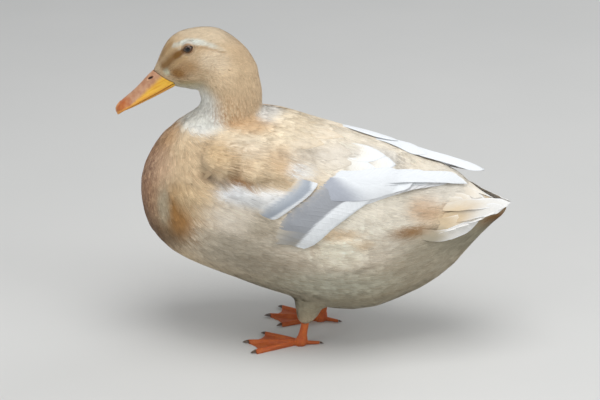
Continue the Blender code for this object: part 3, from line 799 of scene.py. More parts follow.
def feather_pattern(bunches):
    """Across and along for each point, the bunch of barbs that it belongs to, and the faces."""
    shaft = np.linspace(0, 1, bunches + 1)
    across, along, bunch, faces = [0.0] * (bunches + 1), list(shaft * 0.97), [0] * (bunches + 1), []
    for side in (-1, 1):
        first = len(across)
        for i, v in enumerate(shaft):
            across.append(side * 0.62 * vane_width(min(1, v + SWEEP * 0.5)) * (1 if i < bunches else 0.55))
            along.append(min(v + SWEEP * 0.45, 1.01))
            bunch.append(i)
        for i in range(bunches):
            v = shaft[i] + 0.5 / bunches + SWEEP
            across.append(side * vane_width(min(v, 1)) * (1 if v < 1 else max(0.35, 1 - 3.2 * (v - 1))))
            along.append(min(v, 1.06))
            bunch.append(i)
            tip = first + bunches + 1 + i
            ring = [i, i + 1, first + i + 1, first + i]
            point = [tip, first + i + 1, first + i][::-1]
            faces += [ring, point] if side > 0 else [ring[::-1], point[::-1]]
    return np.array(across), np.array(along), np.array(bunch), faces


def triangles_of(faces):
    """Faces as triangles, so that an array holds them."""
    return np.array([(face[0], face[i], face[i + 1]) for face in faces for i in range(1, len(face) - 1)])


print("a feather of 10 bunches has", len(triangles_of(feather_pattern(10)[3])), "triangles")

# %% [markdown]
# A coat piece is one mesh of many feathers, built from arrays of points and faces. Each point is
# shaded as if it faced partly the way the coat does there, so that neighbouring feathers blend softly
# instead of showing every hard fold.

# %% A mesh from arrays
def mesh_piece(name, points, faces, colours, vane_uv, bake_uv, facing, softness):
    """A mesh object with its colours and its two UV maps. softness is how much its points are shaded
    as facing the way that is given."""
    mesh = bpy.data.meshes.new(name)
    mesh.vertices.add(len(points))
    mesh.vertices.foreach_set("co", points.ravel())
    mesh.loops.add(faces.size)
    mesh.loops.foreach_set("vertex_index", faces.ravel())
    mesh.polygons.add(len(faces))
    mesh.polygons.foreach_set("loop_start", np.arange(0, faces.size, faces.shape[1]))
    mesh.update(calc_edges=True)
    for layer, uv in (("OFBake", bake_uv), ("vane", vane_uv)):
        mesh.uv_layers.new(name=layer).data.foreach_set("uv", uv[faces.ravel()].ravel())
    thing = placed(name, mesh)
    paint(thing, colours)
    mesh.shade_smooth()
    own = normals_of(thing)
    own *= np.sign(np.sum(own * facing, axis=1, keepdims=True) + 1e-9)
    mesh.normals_split_custom_set_from_vertices(unit(own * (1 - softness) + facing * softness))
    return thing


DARKEST, LIGHTEST = 0.005, 0.92  # limits of a feather's colour, so that chance gives no black or glare
FIELD_SOFTNESS, SHEAF_SOFTNESS = 0.85, 0.35  # of the shading of small feathers and of large ones
print("colours are kept between", DARKEST, "and", LIGHTEST)

# %% [markdown]
# In a field of small feathers, each feather's points are laid along the coat from its root, settled on
# the surface, and lifted by a height that grows from root to tip, so that it slides over its
# neighbours as roof tiles do. Small random turns, lengths and shades keep it natural.

# %% Lay a field of small feathers
def lay_field(name, roots, bunches, sink, rise, arch, spread, tone, bunch_tone, marking):
    """Small feathers on those roots, as one piece. sink, rise and arch are heights in millimetres, and
    spread, tone and bunch_tone say how much chance changes directions and shades."""
    across, along, bunch, faces = feather_pattern(bunches)
    triangles = triangles_of(faces)
    count, each = len(roots), len(across)
    places, facing = settle(roots)
    way = lie(places, facing)
    turn = CHANCE.normal(0, spread, (count, 1))
    way = way * np.cos(turn) + np.cross(facing, way) * np.sin(turn)
    side = np.cross(facing, way)
    length, width, _ = feather_size(places)
    length = length * CHANCE.uniform(0.85, 1.2, count)
    width = width * CHANCE.uniform(0.85, 1.15, count)
    ragged = CHANCE.normal(0, 0.035, (count, each)) * (np.abs(across) > 0.3)
    u = across[None, :] * (1 + ragged)
    v = along[None, :] + ragged * 0.8
    flat = (places[:, None, :] + way[:, None, :] * (v * length[:, None])[..., None]
            + side[:, None, :] * (u * width[:, None] / 2)[..., None]).reshape(-1, 3)
    ground, up = settle(flat)
    high = CHANCE.normal(0, 0.16, (count, 1)) * rise + rise * v - sink * np.clip(1 - v, 0, 1) ** 1.4
    high = high + arch * (1 - u * u) - arch * 0.4
    shape = ground + up * (high.reshape(-1, 1) * MM)
    own = plumage_colour(places + way * (length * 0.65)[:, None])
    here = plumage_colour(ground).reshape(count, each, 3)
    colours = here * 0.6 + own[:, None, :] * 0.4
    tones = 1 + CHANCE.normal(0, tone, (count, 1, 1))
    # each feather is painted a little darker towards its root: painted shade where the feathers over it
    # overlap it
    colours = colours * tones * (0.93 + 0.10 * smooth(v * 1.1))[..., None]
    tones = CHANCE.normal(0, bunch_tone, (count, 2, bunches + 1))[:, (across > 0).astype(int), bunch]
    colours = colours * (1 + tones * (np.abs(across) > 0.05))[..., None]
    if marking:
        colours = marking(colours, places, u, v)
    every = (triangles[None] + np.arange(count)[:, None, None] * each).reshape(-1, 3)
    vane_uv = np.stack([u.ravel() * 0.5 + 0.5, v.ravel()], axis=1)
    bake_uv = bake_place(places)[:, None, :] + np.stack([u * 0.0012, (v - 0.5) * 0.0024], axis=2)
    piece = mesh_piece(name, shape, every, np.clip(colours, DARKEST, LIGHTEST).reshape(-1, 3), vane_uv,
                       np.clip(bake_uv.reshape(-1, 2), 0, 1), up, FIELD_SOFTNESS)
    finished(piece, DOWN_FINISH, "buff_plumage", smooth_shaded=False)
    print(name, count, "feathers,", len(every), "triangles")


# %% [markdown]
# The feathers' material takes its colour from the mesh. Very fine streaks, which slant from the shaft
# as barbs do, vary the colour and make a shallow bump. A trace of sheen gives the soft bloom of down.

# %% Feather materials
def feather_material(name, rough, streak_depth, barb_scale, bump_depth):
    board = Board(name, Roughness=rough, Specular_IOR_Level=0.22, Sheen_Weight=0.12, Sheen_Roughness=0.5)
    uv = board.add("ShaderNodeUVMap", {"uv_map": "vane"}, [])
    u = board.add("ShaderNodeSeparateXYZ", {}, [uv], "X")
    v = board.add("ShaderNodeSeparateXYZ", {}, [uv], "Y")
    slant = v - (u - 0.5).size() * 0.42
    _, point = board.place()
    patchy = board.noise(point, 90, 2)
    barbs = board.noise(board.xyz(slant * barb_scale, u * 1.5, patchy * 6), 1.0, 2, 0.7)
    streaks = board.add("ShaderNodeCombineColor", {}, [(barbs - 0.5) * streak_depth + 1.0] * 3)
    shade = board.blend(1.0, board.kept_colour(), streaks, "MULTIPLY")
    return board.plug(Base_Color=shade, Normal=board.bumps(barbs, 0.5, bump_depth))


DOWN_FINISH = feather_material("soft_feathers", 0.82, 0.26, 22, 0.0003)
VANE_FINISH = feather_material("stiff_feathers", 0.55, 0.22, 60, 0.0002)
print("feather materials", DOWN_FINISH.name, VANE_FINISH.name)

# %% [markdown]
# ## Feathers of the head, neck and body
#
# Small feathers grow everywhere but on the bill, in the rings of the eyes, and under the large
# feathers of the closed wings, which cover them. The roots are scattered once and shared out
# between several pieces, so that none grows too heavy.

# %% Where small feathers grow
WING_PANEL = [(-51, 173), (-40, 186), (-14, 207), (4, 218), (30, 224), (70, 220), (92, 214), (70, 200),
              (34, 188), (4, 162), (-26, 158)]  # X and Z of its corners in millimetres
EYE_RING = 6.2 * MM
FEATHERED_BILL = 0.0165  # how far past the corner of the mouth feathers still grow


def in_panel(x, z, panel):
    """Whether places lie inside a flat panel, given as corners in millimetres."""
    hit = np.zeros(len(x), bool)
    corners = np.array(panel) * MM
    for (x1, z1), (x2, z2) in zip(corners, np.roll(corners, -1, axis=0)):
        crosses = (z1 > z) != (z2 > z)
        with np.errstate(divide="ignore", invalid="ignore"):
            hit ^= crosses & (x < (x2 - x1) * (z - z1) / (z2 - z1) + x1)
    return hit


def bare(points):
    """Whether small feathers can't grow there."""
    half = folded(points)
    beside = np.abs(half[:, 1] + EYE_OUT + 0.5 * EYE_RADIUS)
    eye_ring = (round_eyes(half) < EYE_RING) & (beside < HEAD_CORE)
    covered = in_panel(half[:, 0], half[:, 2], WING_PANEL) & (half[:, 1] < -0.045)
    on_bill = (points - np.array(MOUTH_CORNER)) @ np.array(BILL_FORWARD) > FEATHERED_BILL
    return eye_ring | covered | (on_bill & (points[:, 2] > 0.29))


roots = throw_darts(150000, lambda points: ~bare(points))
print(len(roots), "roots")

# %% [markdown]
# The breast feathers carry brown crescents near their tips. A field of feathers can be given such a
# marking: a function that changes its colours from each point's place across and along its feather.

# %% Breast speckles
SPECKLE = (112, 70, 48)


def speckled(colours, places, u, v):
    """Brown crescents near the tips of the breast feathers."""
    amount = inside(folded(places), (-186, 0, 196), (44, 58, 78), 0.6) * CHANCE.uniform(0.0, 1.0, len(places))
    crescent = smooth((v - 0.62) / 0.12) * smooth((0.98 - v) / 0.1) * smooth((0.85 - np.abs(u)) / 0.3)
    return colours + (pigment(SPECKLE) - colours) * (crescent * amount[:, None] * 0.95)[..., None]


print("speckles of", SPECKLE)

# %% [markdown]
# Each region gets one field. The feathers of the head have few bunches, as they are the smallest, and
# those of the body have ten. Heights, turns and shades vary most where the plumage is roughest.

# %% Lay the small feathers
on_head = (roots[:, 2] > HEAD_LOW) & (roots[:, 0] < HEAD_END)
on_neck = (roots[:, 2] > NECK_LOW) & (roots[:, 0] < NECK_END) & ~on_head
on_body = ~on_head & ~on_neck
on_breast = on_body & (roots[:, 0] < BREAST_END)
on_back = on_body & ~on_breast & (roots[:, 2] > BACK_LOW)
low = on_body & ~on_breast & ~on_back
left = roots[:, 1] < 0
for name, where, *how in (
        # name, roots, bunches, sink, rise, arch, spread, tone, bunch_tone, marking
        ("head_feathers", on_head, 4, 0.3, 0.1, 0.06, 0.10, 0.025, 0.05, None),
        ("neck_feathers", on_neck, 5, 0.6, 0.18, 0.12, 0.12, 0.045, 0.07, None),
        ("breast_feathers", on_breast, 9, 0.55, 0.1, 0.12, 0.14, 0.05, 0.09, speckled),
        ("back_feathers", on_back, 10, 0.55, 0.1, 0.12, 0.12, 0.02, 0.04, None),
        ("left_flank_feathers", low & left, 10, 0.55, 0.1, 0.12, 0.15, 0.02, 0.06, None),
        ("right_flank_feathers", low & ~left, 10, 0.55, 0.1, 0.12, 0.15, 0.02, 0.06, None)):
    lay_field(name, roots[where], *how)

# %% [markdown]
# The free ends of the barbs make plumage look soft and finely streaked. They are added as a thin
# outer layer of wisps: narrow tapered strips that follow the lie of the feathers, each a little
# lighter or darker than its place.

# %% Lay the wisps
STRANDS = [
    # darker colour that some wisps have there, middle, reach, softness, strength
    ((184, 126, 74), (-94, 0, 282), (22, 46, 28), 0.7, 0.85),
    ((126, 80, 60), (-190, 0, 200), (44, 62, 76), 0.8, 0.9),
    ((120, 84, 50), (-152, -15, 319), (15, 14, 12), 0.8, 0.85),
    ((190, 150, 106), (-124, -24, 330), (26, 20, 22), 1.0, 0.5),
    ((168, 124, 78), (-146, -72, 172), (22, 24, 36), 1.0, 0.55),
    ((184, 152, 112), (20, -84, 140), (130, 44, 44), 1.0, 0.3),
    ((160, 134, 102), (20, -30, 86), (170, 70, 42), 1.0, 0.5),
    ((190, 150, 108), (-70, -74, 236), (60, 40, 30), 1.0, 0.2),
]


def lay_wisps(name, roots, share, width, tone, turn, rise):
    """Narrow tapered strips on those roots, share of a feather long and width millimetres wide."""
    places, facing = settle(roots)
    count = len(places)
    length = feather_size(places)[0] * share * CHANCE.uniform(0.6, 1.3, count)
    bend = CHANCE.normal(0, turn, (count, 1))
    way = lie(places, facing)
    side = np.cross(facing, way)
    wide = width * MM * CHANCE.uniform(0.7, 1.3, count)
    steps = np.array((0, 0.35, 0.7, 1.0))
    line = places[:, None, :] + length[:, None, None] * (
        way[:, None, :] * steps[None, :, None] + side[:, None, :] * (bend * steps**1.5)[..., None])
    ground, up = settle(line.reshape(-1, 3))
    ground, up = ground.reshape(count, 4, 3), up.reshape(count, 4, 3)
    high = (-0.35 + (rise + 0.35) * steps[None, :] + CHANCE.normal(0, 0.10, (count, 1)) * steps) * MM
    spine = ground + up * high[..., None]
    half_width = ((wide[:, None] * np.array((0.35, 0.5, 0.4, 0)))[..., None] * side[:, None, :])[:, :3]
    shape = np.concatenate([spine[:, :3] - half_width, spine[:, :3] + half_width, spine[:, 3:]], axis=1)
    order = (0, 1, 2, 0, 1, 2, 3)  # which step of the spine each of a wisp's points is at
    pattern = np.array([(0, 1, 4), (0, 4, 3), (1, 2, 5), (1, 5, 4), (2, 6, 5)])
    faces = (pattern[None] + np.arange(count)[:, None, None] * len(order)).reshape(-1, 3)
    colours = plumage_colour(spine.reshape(-1, 3)).reshape(count, 4, 3)[:, order]
    colours = colours * 0.4 + colours[:, 1:2] * 0.6
    colours = colours * (1 + CHANCE.normal(0, tone, (count, 1, 1)))
    for shade, middle, reach, softness, strength in STRANDS:
        amount = inside(folded(places), middle, reach, softness) * strength * CHANCE.random(count) ** 2
        colours += (pigment(shade) - colours) * amount[:, None, None]
    u = np.tile(np.array((0.3, 0.3, 0.4, 0.7, 0.7, 0.6, 0.5)), (count, 1))
    v = np.tile(steps[np.array(order)], (count, 1))
    bake_uv = bake_place(places)[:, None, :] + np.stack([(u - 0.5) * 0.0024, (v - 0.5) * 0.0024], axis=2)
    piece = mesh_piece(name, shape.reshape(-1, 3), faces, np.clip(colours, DARKEST, LIGHTEST).reshape(-1, 3),
                       np.stack([u.ravel(), v.ravel()], axis=1), np.clip(bake_uv, 0, 1).reshape(-1, 2),
                       up[:, order].reshape(-1, 3), FIELD_SOFTNESS)
    finished(piece, DOWN_FINISH, "buff_plumage", smooth_shaded=False)
    print(name, count, "wisps,", len(faces), "triangles")


def upper(points):
    """1 on the head and neck and 0 on the body."""
    return smooth((points[:, 2] - 0.25) / 0.02) * smooth((-0.04 - points[:, 0]) / 0.02)


def wisp_roots(count, where):
    """Places at random on the coat, more of them where the feathers are small."""
    points = random_places(count, lambda middles, areas: areas / feather_size(middles)[0] * where(middles))
    return points[~bare(points)]


for name, count, where, *how in (
        # name, tries, where, share, width, tone, turn, rise
        ("head_and_neck_wisps", 38000, upper, 1.05, 0.40, 0.09, 0.10, 0.25),
        ("left_wisps", 39000, lambda p: (1 - upper(p)) * (p[:, 1] < 0), 0.95, 0.62, 0.09, 0.11, 0.35),
        ("right_wisps", 39000, lambda p: (1 - upper(p)) * (p[:, 1] >= 0), 0.95, 0.62, 0.09, 0.11, 0.35)):
    lay_wisps(name, wisp_roots(count, where), *how)

# %% [markdown]
# ## Large feathers
#
# Wing and tail feathers are stiff, so each is made one by one: a curved shaft, a narrow web on its
# outer side and a wide one on its inner side, arched a little and 0.35 mm thick. The shaft is a low
# ridge. A feather that lies on the body is settled on the coat; one that stands free, such as a wing
# tip, follows its own line. All feathers of a wing are then one mesh.

# %% The curve of a shaft
WEB_ACROSS = np.array([-1, -0.94, -0.78, -0.45, -0.1, 0, 0.1, 0.45, 0.78, 0.94, 1])
HALF_WEBS = (0.5, 0.5)  # both webs equally wide
FEATHER_THICKNESS = 0.35
SHAFT_STEPS = 60  # points on the curve that each shaft is measured along


def curve_through(places, count):
    """Evenly spaced points on a smooth curve through a few places."""
    p = np.array(places, float)
    p = np.vstack([2 * p[0] - p[1], p, 2 * p[-1] - p[-2]])
    out = []
    for t in np.linspace(0, len(p) - 3 - 1e-6, count):
        k, f = int(t), t - int(t)
        a, b, c, d = p[k:k + 4]
        out.append(b + 0.5 * f * (c - a + f * (2 * a - 5 * b + 4 * c - d + f * (3 * (b - c) + d - a))))
    return np.array(out)


def shell_faces(rows, columns):
    """Faces of a thin shell: a grid of points, a second grid under it, and the wall round both."""
    grid = np.arange(rows * columns).reshape(rows, columns)
    quads = np.stack([grid[:-1, :-1], grid[1:, :-1], grid[1:, 1:], grid[:-1, 1:]], -1).reshape(-1, 4)
    rim = np.concatenate([grid[0, :], grid[1:, -1], grid[-1, -2::-1], grid[-2:0:-1, 0]])
    after = np.roll(rim, -1)
    wall = np.stack([rim, after, after + rows * columns, rim + rows * columns], -1)
    return np.vstack([quads[:, ::-1], quads + rows * columns, wall[:, ::-1]])


print("a feather of 20 rows has", len(shell_faces(20, len(WEB_ACROSS))), "faces")

# %% [markdown]
# The feathers of a wing or of the tail are gathered in a sheaf. Adding one takes a few places along its
# shaft. The shaft's curve gives the directions ahead, beside and above at each step, the webs are
# spread to both sides of it, and the whole is lifted by a height that grows from root to tip.

# %% Build one large feather
FREE_FROM = 0.085  # behind this place, a feather with a free end leaves the coat
COAT_SOUGHT = 0.025  # how far out the coat is looked for, under a feather that is lifted clear
CLEAR_BY, CLEAR_SOFTLY = 0.0006, 0.0015
RIDGE_HEIGHT = 0.22  # of the shaft over the webs


class Sheaf:
    """Large feathers gathered to become one piece. Lengths are in millimetres."""

    def __init__(self, hand=1):
        self.hand = hand  # 1 for the left side and -1 for the right
        self.parts = []

    def shaft(self, spine, facing, over):
        """Places along a shaft, with the directions above, beside and ahead of it."""
        dense = curve_through(np.array(spine) * MM * (1, self.hand, 1), SHAFT_STEPS)
        ground, up = settle(dense)
        middle = ground if facing is None and over is None else dense
        if over is not None:
            up = np.tile(over, (SHAFT_STEPS, 1))
        elif facing is not None:
            turn = smooth((dense[:, :1] - 0.06) / 0.05)
            up = unit(up * (1 - turn) + np.array(facing) * (1, self.hand, 1) * turn)
        ahead = unit(np.gradient(middle, axis=0) + 0.05 * np.gradient(dense, axis=0))
        return middle, up, unit(np.cross(up, ahead) * self.hand), ahead

    def laid(self, flat, free_up, facing, over):
        """A feather's points on the coat, or clear of it, and the direction above each."""
        if over is not None:
            on_coat, _ = settle(flat + over * COAT_SOUGHT)
            clear = (on_coat - flat) @ over + CLEAR_BY
            flat = flat + over * (0.5 * (clear + np.sqrt(clear**2 + CLEAR_SOFTLY**2)))[:, None]
            return flat, np.tile(over, (len(flat), 1))
        on_coat, above = settle(flat)
        if facing is None:
            return on_coat, above
        loose = smooth((flat[:, :1] - FREE_FROM) / 0.025)
        return on_coat * (1 - loose) + flat * loose, unit(above * (1 - loose) + free_up * loose)

    def add(self, spine, width, colour, facing=None, over=None, webs=(0.42, 0.58), tip=1.0, sharp=0.0,
            skew=0.0, arch=0.7, lift=(-1.2, 0.8), rising=1.15, tilt=0.0, rows=20, nicks=0.04):
        """One feather. tip is how round its end is (0 is cut straight), sharp how pointed, and skew how
        far one corner of the end is ahead. Its height goes from the first lift to the second, sooner
        where rising is more. A feather lies on the coat unless facing says which way its
        free end faces, or over gives a direction in which it is lifted clear of the coat."""
        middle, up, side, ahead = self.shaft(spine, facing, over)
        length = np.linalg.norm(np.diff(middle, axis=0), axis=1).sum() / MM
        v = np.repeat(np.linspace(0, 1, rows)[:, None], len(WEB_ACROSS), axis=1)
        u = np.tile(WEB_ACROSS, (rows, 1))
        curve = (1 - sharp) * (1 - np.sqrt(1 - 0.995 * u**2)) + sharp * np.abs(u)
        along = (v * (1 - tip * width / 2 / length * curve + skew * u / length)).ravel()

        def taken(track):
            """What the shaft has at each point's distance along it."""
            steps = np.linspace(0, 1, SHAFT_STEPS)
            return np.stack([np.interp(along, steps, track[:, k]) for k in range(3)], axis=1)

        reach = np.where(u < 0, webs[0], webs[1]) * width * np.interp(v, (0, 0.1, 0.3, 1), (0.35, 0.72, 1, 1))
        reach *= 1 - nicks * (np.abs(u) > 0.9) * CHANCE.random((rows, 1)) ** 3
        beyond = np.clip(along - 1, 0, None)[:, None] * length * MM * ahead[-1]
        flat = taken(middle) + beyond + taken(side) * (u * reach * MM).reshape(-1, 1)
        flat, above = self.laid(flat, taken(up), facing, over)
        high = lift[0] + (lift[1] - lift[0]) * smooth(v * rising) + arch * (1 - u * u) + tilt * u
        high = high + RIDGE_HEIGHT * (u == 0) * (1 - v)  # it sinks towards the tip
        top = flat + above * (high.reshape(-1, 1) * MM)
        bottom = top - above * (FEATHER_THICKNESS * MM)
        tint = colour(u, v, top.reshape(*u.shape, 3)).reshape(-1, 3)
        tint = tint * (1 + CHANCE.normal(0, 0.012))
        faces = shell_faces(*u.shape)
        uv = np.stack([u.ravel() * 0.5 + 0.5, v.ravel()], axis=1)
        self.parts.append((np.vstack([top, bottom]), faces[:, ::-1] if self.hand > 0 else faces,
                           np.vstack([tint, tint * 0.93]), uv, np.vstack([above, -above])))

    def piece(self, name, *nodes):
        """All the gathered feathers as one mesh, each with its own cell in the baking map."""
        cells = math.ceil(math.sqrt(len(self.parts)))
        points, faces, tints, vane_uv, bake_uv, facing, count = [], [], [], [], [], [], 0
        for i, (place, face, tint, uv, above) in enumerate(self.parts):
            corner, cell_uv = np.array([i % cells, i // cells]), uv * (0.44, 0.92)
            points.append(place)
            faces.append(face + count)
            tints.append(tint)
            vane_uv += [uv, uv]
            bake_uv += [(corner + 0.04 + cell_uv) / cells, (corner + 0.04 + (0.48, 0) + cell_uv) / cells]
            facing.append(above)
            count += len(place)
        tints = np.clip(np.vstack(tints), DARKEST, LIGHTEST)
        thing = mesh_piece(name, np.vstack(points), np.vstack(faces), tints, np.vstack(vane_uv),
                           np.vstack(bake_uv), np.vstack(facing), SHEAF_SOFTNESS)
        print(name, len(self.parts), "feathers,", 2 * len(thing.data.polygons), "triangles")
        finished(thing, VANE_FINISH, "pale_plumage", *nodes, smooth_shaded=False)


print("sheaf ready")

# %% [markdown]
# A large feather's colour is a function of the place across its webs, the place along it, and the
# place in space. Simple functions are made first, and others mix two of them: one colour passes into
# the next along the feather, along its edges, from the plumage round its root, or behind a line.

# %% Colours of large feathers
WHITE = (232, 235, 237)
WARM_WHITE = (238, 235, 227)
GREY = (164, 167, 173)
DULL_GREY = (156, 158, 162)
CREAM = (224, 209, 184)


def shades(*stops):
    """Colours along the feather from (place along, colour) stops."""
    where = [place for place, _ in stops]
    tints = np.array([pigment(shade) for _, shade in stops])

    def colour(u, v, places):
        soft = v + 0.03 * np.abs(u)
        return np.stack([np.interp(soft, where, tints[:, k]) for k in range(3)], axis=-1)

    return colour


def plain(shade):
    return lambda u, v, places: pigment(shade)


def own_plumage(u, v, places):
    return plumage_colour(places.reshape(-1, 3)).reshape(places.shape)


def mixed(base, other, amount):
    """The base colours where amount is 0, and the other ones where it is 1."""
    def colour(u, v, places):
        share = amount(u, v, places)[..., None]
        return base(u, v, places) * (1 - share) + other(u, v, places) * share

    return colour


def edged(base, edge, start):
    """The base colours with another colour along both edges."""
    return mixed(base, plain(edge), lambda u, v, places: smooth((np.abs(u) - start) / 0.15))


def lightened(base, start=0.8):
    """The base colours, a little lighter along both edges."""
    def colour(u, v, places):
        return base(u, v, places) * (1 + 0.08 * smooth((np.abs(u) - start) / 0.15))[..., None]

    return colour


def blended(base, start, end):
    """The plumage's own colours near the root, which pass into the base colours towards the tip."""
    return mixed(own_plumage, base, lambda u, v, places: smooth((v - start) / (end - start)))


def white_behind(base, border, soft):
    """The base colours, white behind a line given as Z and X of its places in millimetres."""
    high, far = zip(*border)

    def beyond(u, v, places):
        return smooth((places[..., 0] / MM - np.interp(places[..., 2] / MM, high, far)) / soft + 0.5)

    return mixed(base, plain(WHITE), beyond)


print("white", WHITE, "grey", GREY, "cream", CREAM)

# %% [markdown]
# ## The closed wing
#
# On the closed wing the long white inner feathers (tertials) and the wing's outer feathers
# (primaries) run back to the tip. Below them the grey secondaries show as a panel with a white hind
# edge, and in front of it the grey greater coverts end in a white bar. Long pale scapulars fall from
# the shoulder over the top. The far wing reaches a little further back than the near one.
#
# What lies deepest is laid first: the primaries, which are seen only along the lower edge of the long
# feathers. The places along a shaft run from root to tip, for the left wing.

# %% Primaries
WING_TIPS = {1: (161, -20, 204), -1: (195, -22, 200.5)}
TIP_FACING = {1: (0, -0.72, 0.70), -1: (0.25, 0.1, 0.96)}  # the way that the free part of a wing faces


def between(a, b, t):
    return np.array(a, float) * (1 - t) + np.array(b, float) * t


def lay_primaries(sheaf):
    """Five primaries, lowest first."""
    tip = WING_TIPS[sheaf.hand]
    # the grey along both edges is painted shade where the primaries overlap
    web = edged(shades((0, WHITE), (0.8, WHITE), (1, (232, 232, 232))), (214, 212, 210), 0.86)
    ends = [(112, -49, 205), (125, -42, 206), (138, -34, 206.5), between((138, -34, 206.5), tip, 0.5), tip]
    for i, end in enumerate(ends):
        spine = [(0, -84, 198 + i), (40, -80, 199 + 1.2 * i), (63, -73, 196.5 + 1.6 * i),
                 (84, -61, 200.5 + 1.4 * i), end]
        sheaf.add(spine, 13.5, web, facing=TIP_FACING[sheaf.hand], lift=(-1.6, 0.5 + 0.2 * i), rows=24,
                  tip=1.8, sharp=0.3, arch=0.4)


print("wing tips at", WING_TIPS)

# %% [markdown]
# The secondaries are ten broad grey feathers, each over the one below it. Their ends lie on a curve
# that climbs to the back, and their white ends together make the hind edge. The greater coverts do
# the same in front of them, and their white ends make the bar.

# %% Secondaries and greater coverts
BAR_BORDER = [(175, -41), (180, -35.5), (191, -20), (202, -2.5), (210, 6.5)]
HIND_BORDER = [(146, -9), (158, 0), (175, 14), (189, 31), (197, 43), (203, 56)]


def lay_secondaries(sheaf):
    """Ten grey secondaries, lowest first."""
    ends = curve_through([(12, -92, 149), (31, -89, 167), (54, -81, 184), (68, -74, 193)], 10)
    for i, end in enumerate(ends):
        dull = between((168, 162, 150), DULL_GREY, min(1, i / 9 * 3))
        web = white_behind(shades((0, GREY), (0.5, between(dull, GREY, 0.5)), (1, dull)), HIND_BORDER, 3)
        start = end + np.array((-78, -4, 11))
        sheaf.add([start, between(start, end, 0.5) + (0, -1, 1.5), end], 21,
                  blended(lightened(web), *((0.3, 0.7) if i < 3 else (0.15, 0.4))),
                  rising=min(2.3, 1.25 + 0.3 * i), lift=(-2.4, 0.9 + 0.04 * i), tilt=-0.25, tip=0.3, arch=0.2,
                  skew=np.interp(i, (0, 4, 9), (8.2, 9.6, 9.9)), rows=34, webs=HALF_WEBS)


def lay_greater_coverts(sheaf):
    """Twelve grey coverts, lowest first."""
    web = shades((0, (200, 203, 206)), (0.5, (186, 191, 197)), (0.75, (168, 175, 184)), (1, (162, 169, 179)))
    web = blended(white_behind(web, BAR_BORDER, 4), 0.3, 0.6)
    ends = curve_through([(-28, -94, 180), (-13, -92, 191), (3, -85, 202), (11, -79, 210)], 12)
    for i, end in enumerate(ends):
        start = end + np.array((-34, -2.5, 7.5))
        sheaf.add([start, between(start, end, 0.5) + (0, 0, 1), end], 11, web, rising=1.5,
                  lift=(-2.0, 2.0 + 0.03 * i), tilt=-0.2, tip=0.4, rows=16, arch=0.2,
                  skew=np.interp(i, (0, 7, 11), (4.3, 4.1, 2.6)))


print("bar of", len(BAR_BORDER), "places, hind edge of", len(HIND_BORDER))

# %% [markdown]
# Three long feathers lie over the secondaries and reach back to the wing's tip. The lowest is broad and
# grey at its root, and the others are white. On the near wing the last one bends down at its end.

# %% Long inner feathers
LONG_WHITE = edged(shades((0, (226, 229, 232)), (0.7, WHITE), (1, WHITE)), (216, 220, 226), 0.93)
BROAD_GREY = lightened(mixed(plain((171, 175, 184)), plain(WHITE),
                             lambda u, v, places: smooth((v - 0.42 + 0.10 * u) / 0.22)), 0.94)

LONG_PLACES = [
    [(-25, -79, 222), (15, -78, 213), (34, -76, 209.5), (61, -68, 208), (92, -51, 210.5), (118, -41, 212)],
    [(-18, -76, 228), (20, -72, 221), (50, -66, 216), (84, -53, 214.5), (110, -42, 212), (138, -31, 208.5)],
    [(-10, -74, 228), (28, -71, 220), (47, -67, 219), (76, -57, 216.5), (110, -44, 213.5)]]
LAST_ENDS = {1: [(140, -31, 209.5), (160, -20, 205), (178, -10, 195.5)], -1: [(140, -32, 212), WING_TIPS[-1]]}


def lay_long_feathers(sheaf):
    """The long inner feathers, lowest first."""
    facing = TIP_FACING[sheaf.hand]
    white = blended(LONG_WHITE, 0.08, 0.32)
    sheaf.add(LONG_PLACES[0], 27, BROAD_GREY, facing=facing, lift=(-2.5, 1.6), rising=2.0, tilt=-0.4,
              rows=28, tip=1.2, sharp=0.2, webs=HALF_WEBS, arch=0.9)
    sheaf.add(LONG_PLACES[1], 20, white, facing=facing, lift=(-2.5, 2.0), rising=1.8, tilt=-0.3,
              rows=28, tip=1.6, sharp=0.3, arch=0.7)
    sheaf.add(LONG_PLACES[2] + LAST_ENDS[sheaf.hand], 15, white, facing=facing, lift=(-2.5, 2.9), rising=1.4,
              tilt=-0.3, rows=30, tip=4.0, sharp=0.8, arch=0.6)


print("long feathers ready")

# %% [markdown]
# The scapulars fall from the shoulder over the roots of all the others. Their colours come from the
# plumage round them, so that they show only as soft raised edges.

# %% Scapulars
PALE = blended(shades((0, CREAM), (0.5, (222, 216, 204)), (0.8, WARM_WHITE), (1, WHITE)), 0.1, 0.6)
CREAMY = blended(shades((0, CREAM), (1, (210, 199, 182))), 0.45, 1.3)
BUFF = blended(shades((0, CREAM), (1, (220, 198, 164))), 0.5, 1.4)
SCAPULARS = [
    # places along the shaft, width, colours
    ([(-8, -68, 236), (32, -61, 230), (76, -49, 225.5)], 24, PALE),
    ([(14, -62, 236), (56, -51, 233), (99, -35, 226.5)], 33, PALE),
    ([(-34, -66, 243), (6, -60, 240), (52, -53, 234)], 30, CREAMY),
    ([(0, -44, 249), (42, -40, 242), (86, -30, 234)], 30, PALE),
    ([(-40, -50, 256), (2, -49, 249), (50, -42, 241)], 34, CREAMY),
    ([(-70, -46, 264), (-30, -44, 259), (18, -40, 250)], 32, BUFF),
    ([(-48, -26, 267), (-8, -24, 261), (38, -17, 250)], 30, BUFF)]


def lay_scapulars(sheaf):
    """The scapulars, lowest first."""
    for spine, width, colour in SCAPULARS:
        sheaf.add(spine, width, colour, lift=(-3.4, 0.4 if colour is PALE else 0.1), tilt=-0.15, tip=1.5,
                  sharp=0.6, arch=0.2, rows=24, nicks=0.09)


print(len(SCAPULARS), "scapulars on each side")

# %% [markdown]
# The far wing shows its long inner feathers along the back, and they reach further than the near
# wing's. Then both wings are dressed, each as one piece.

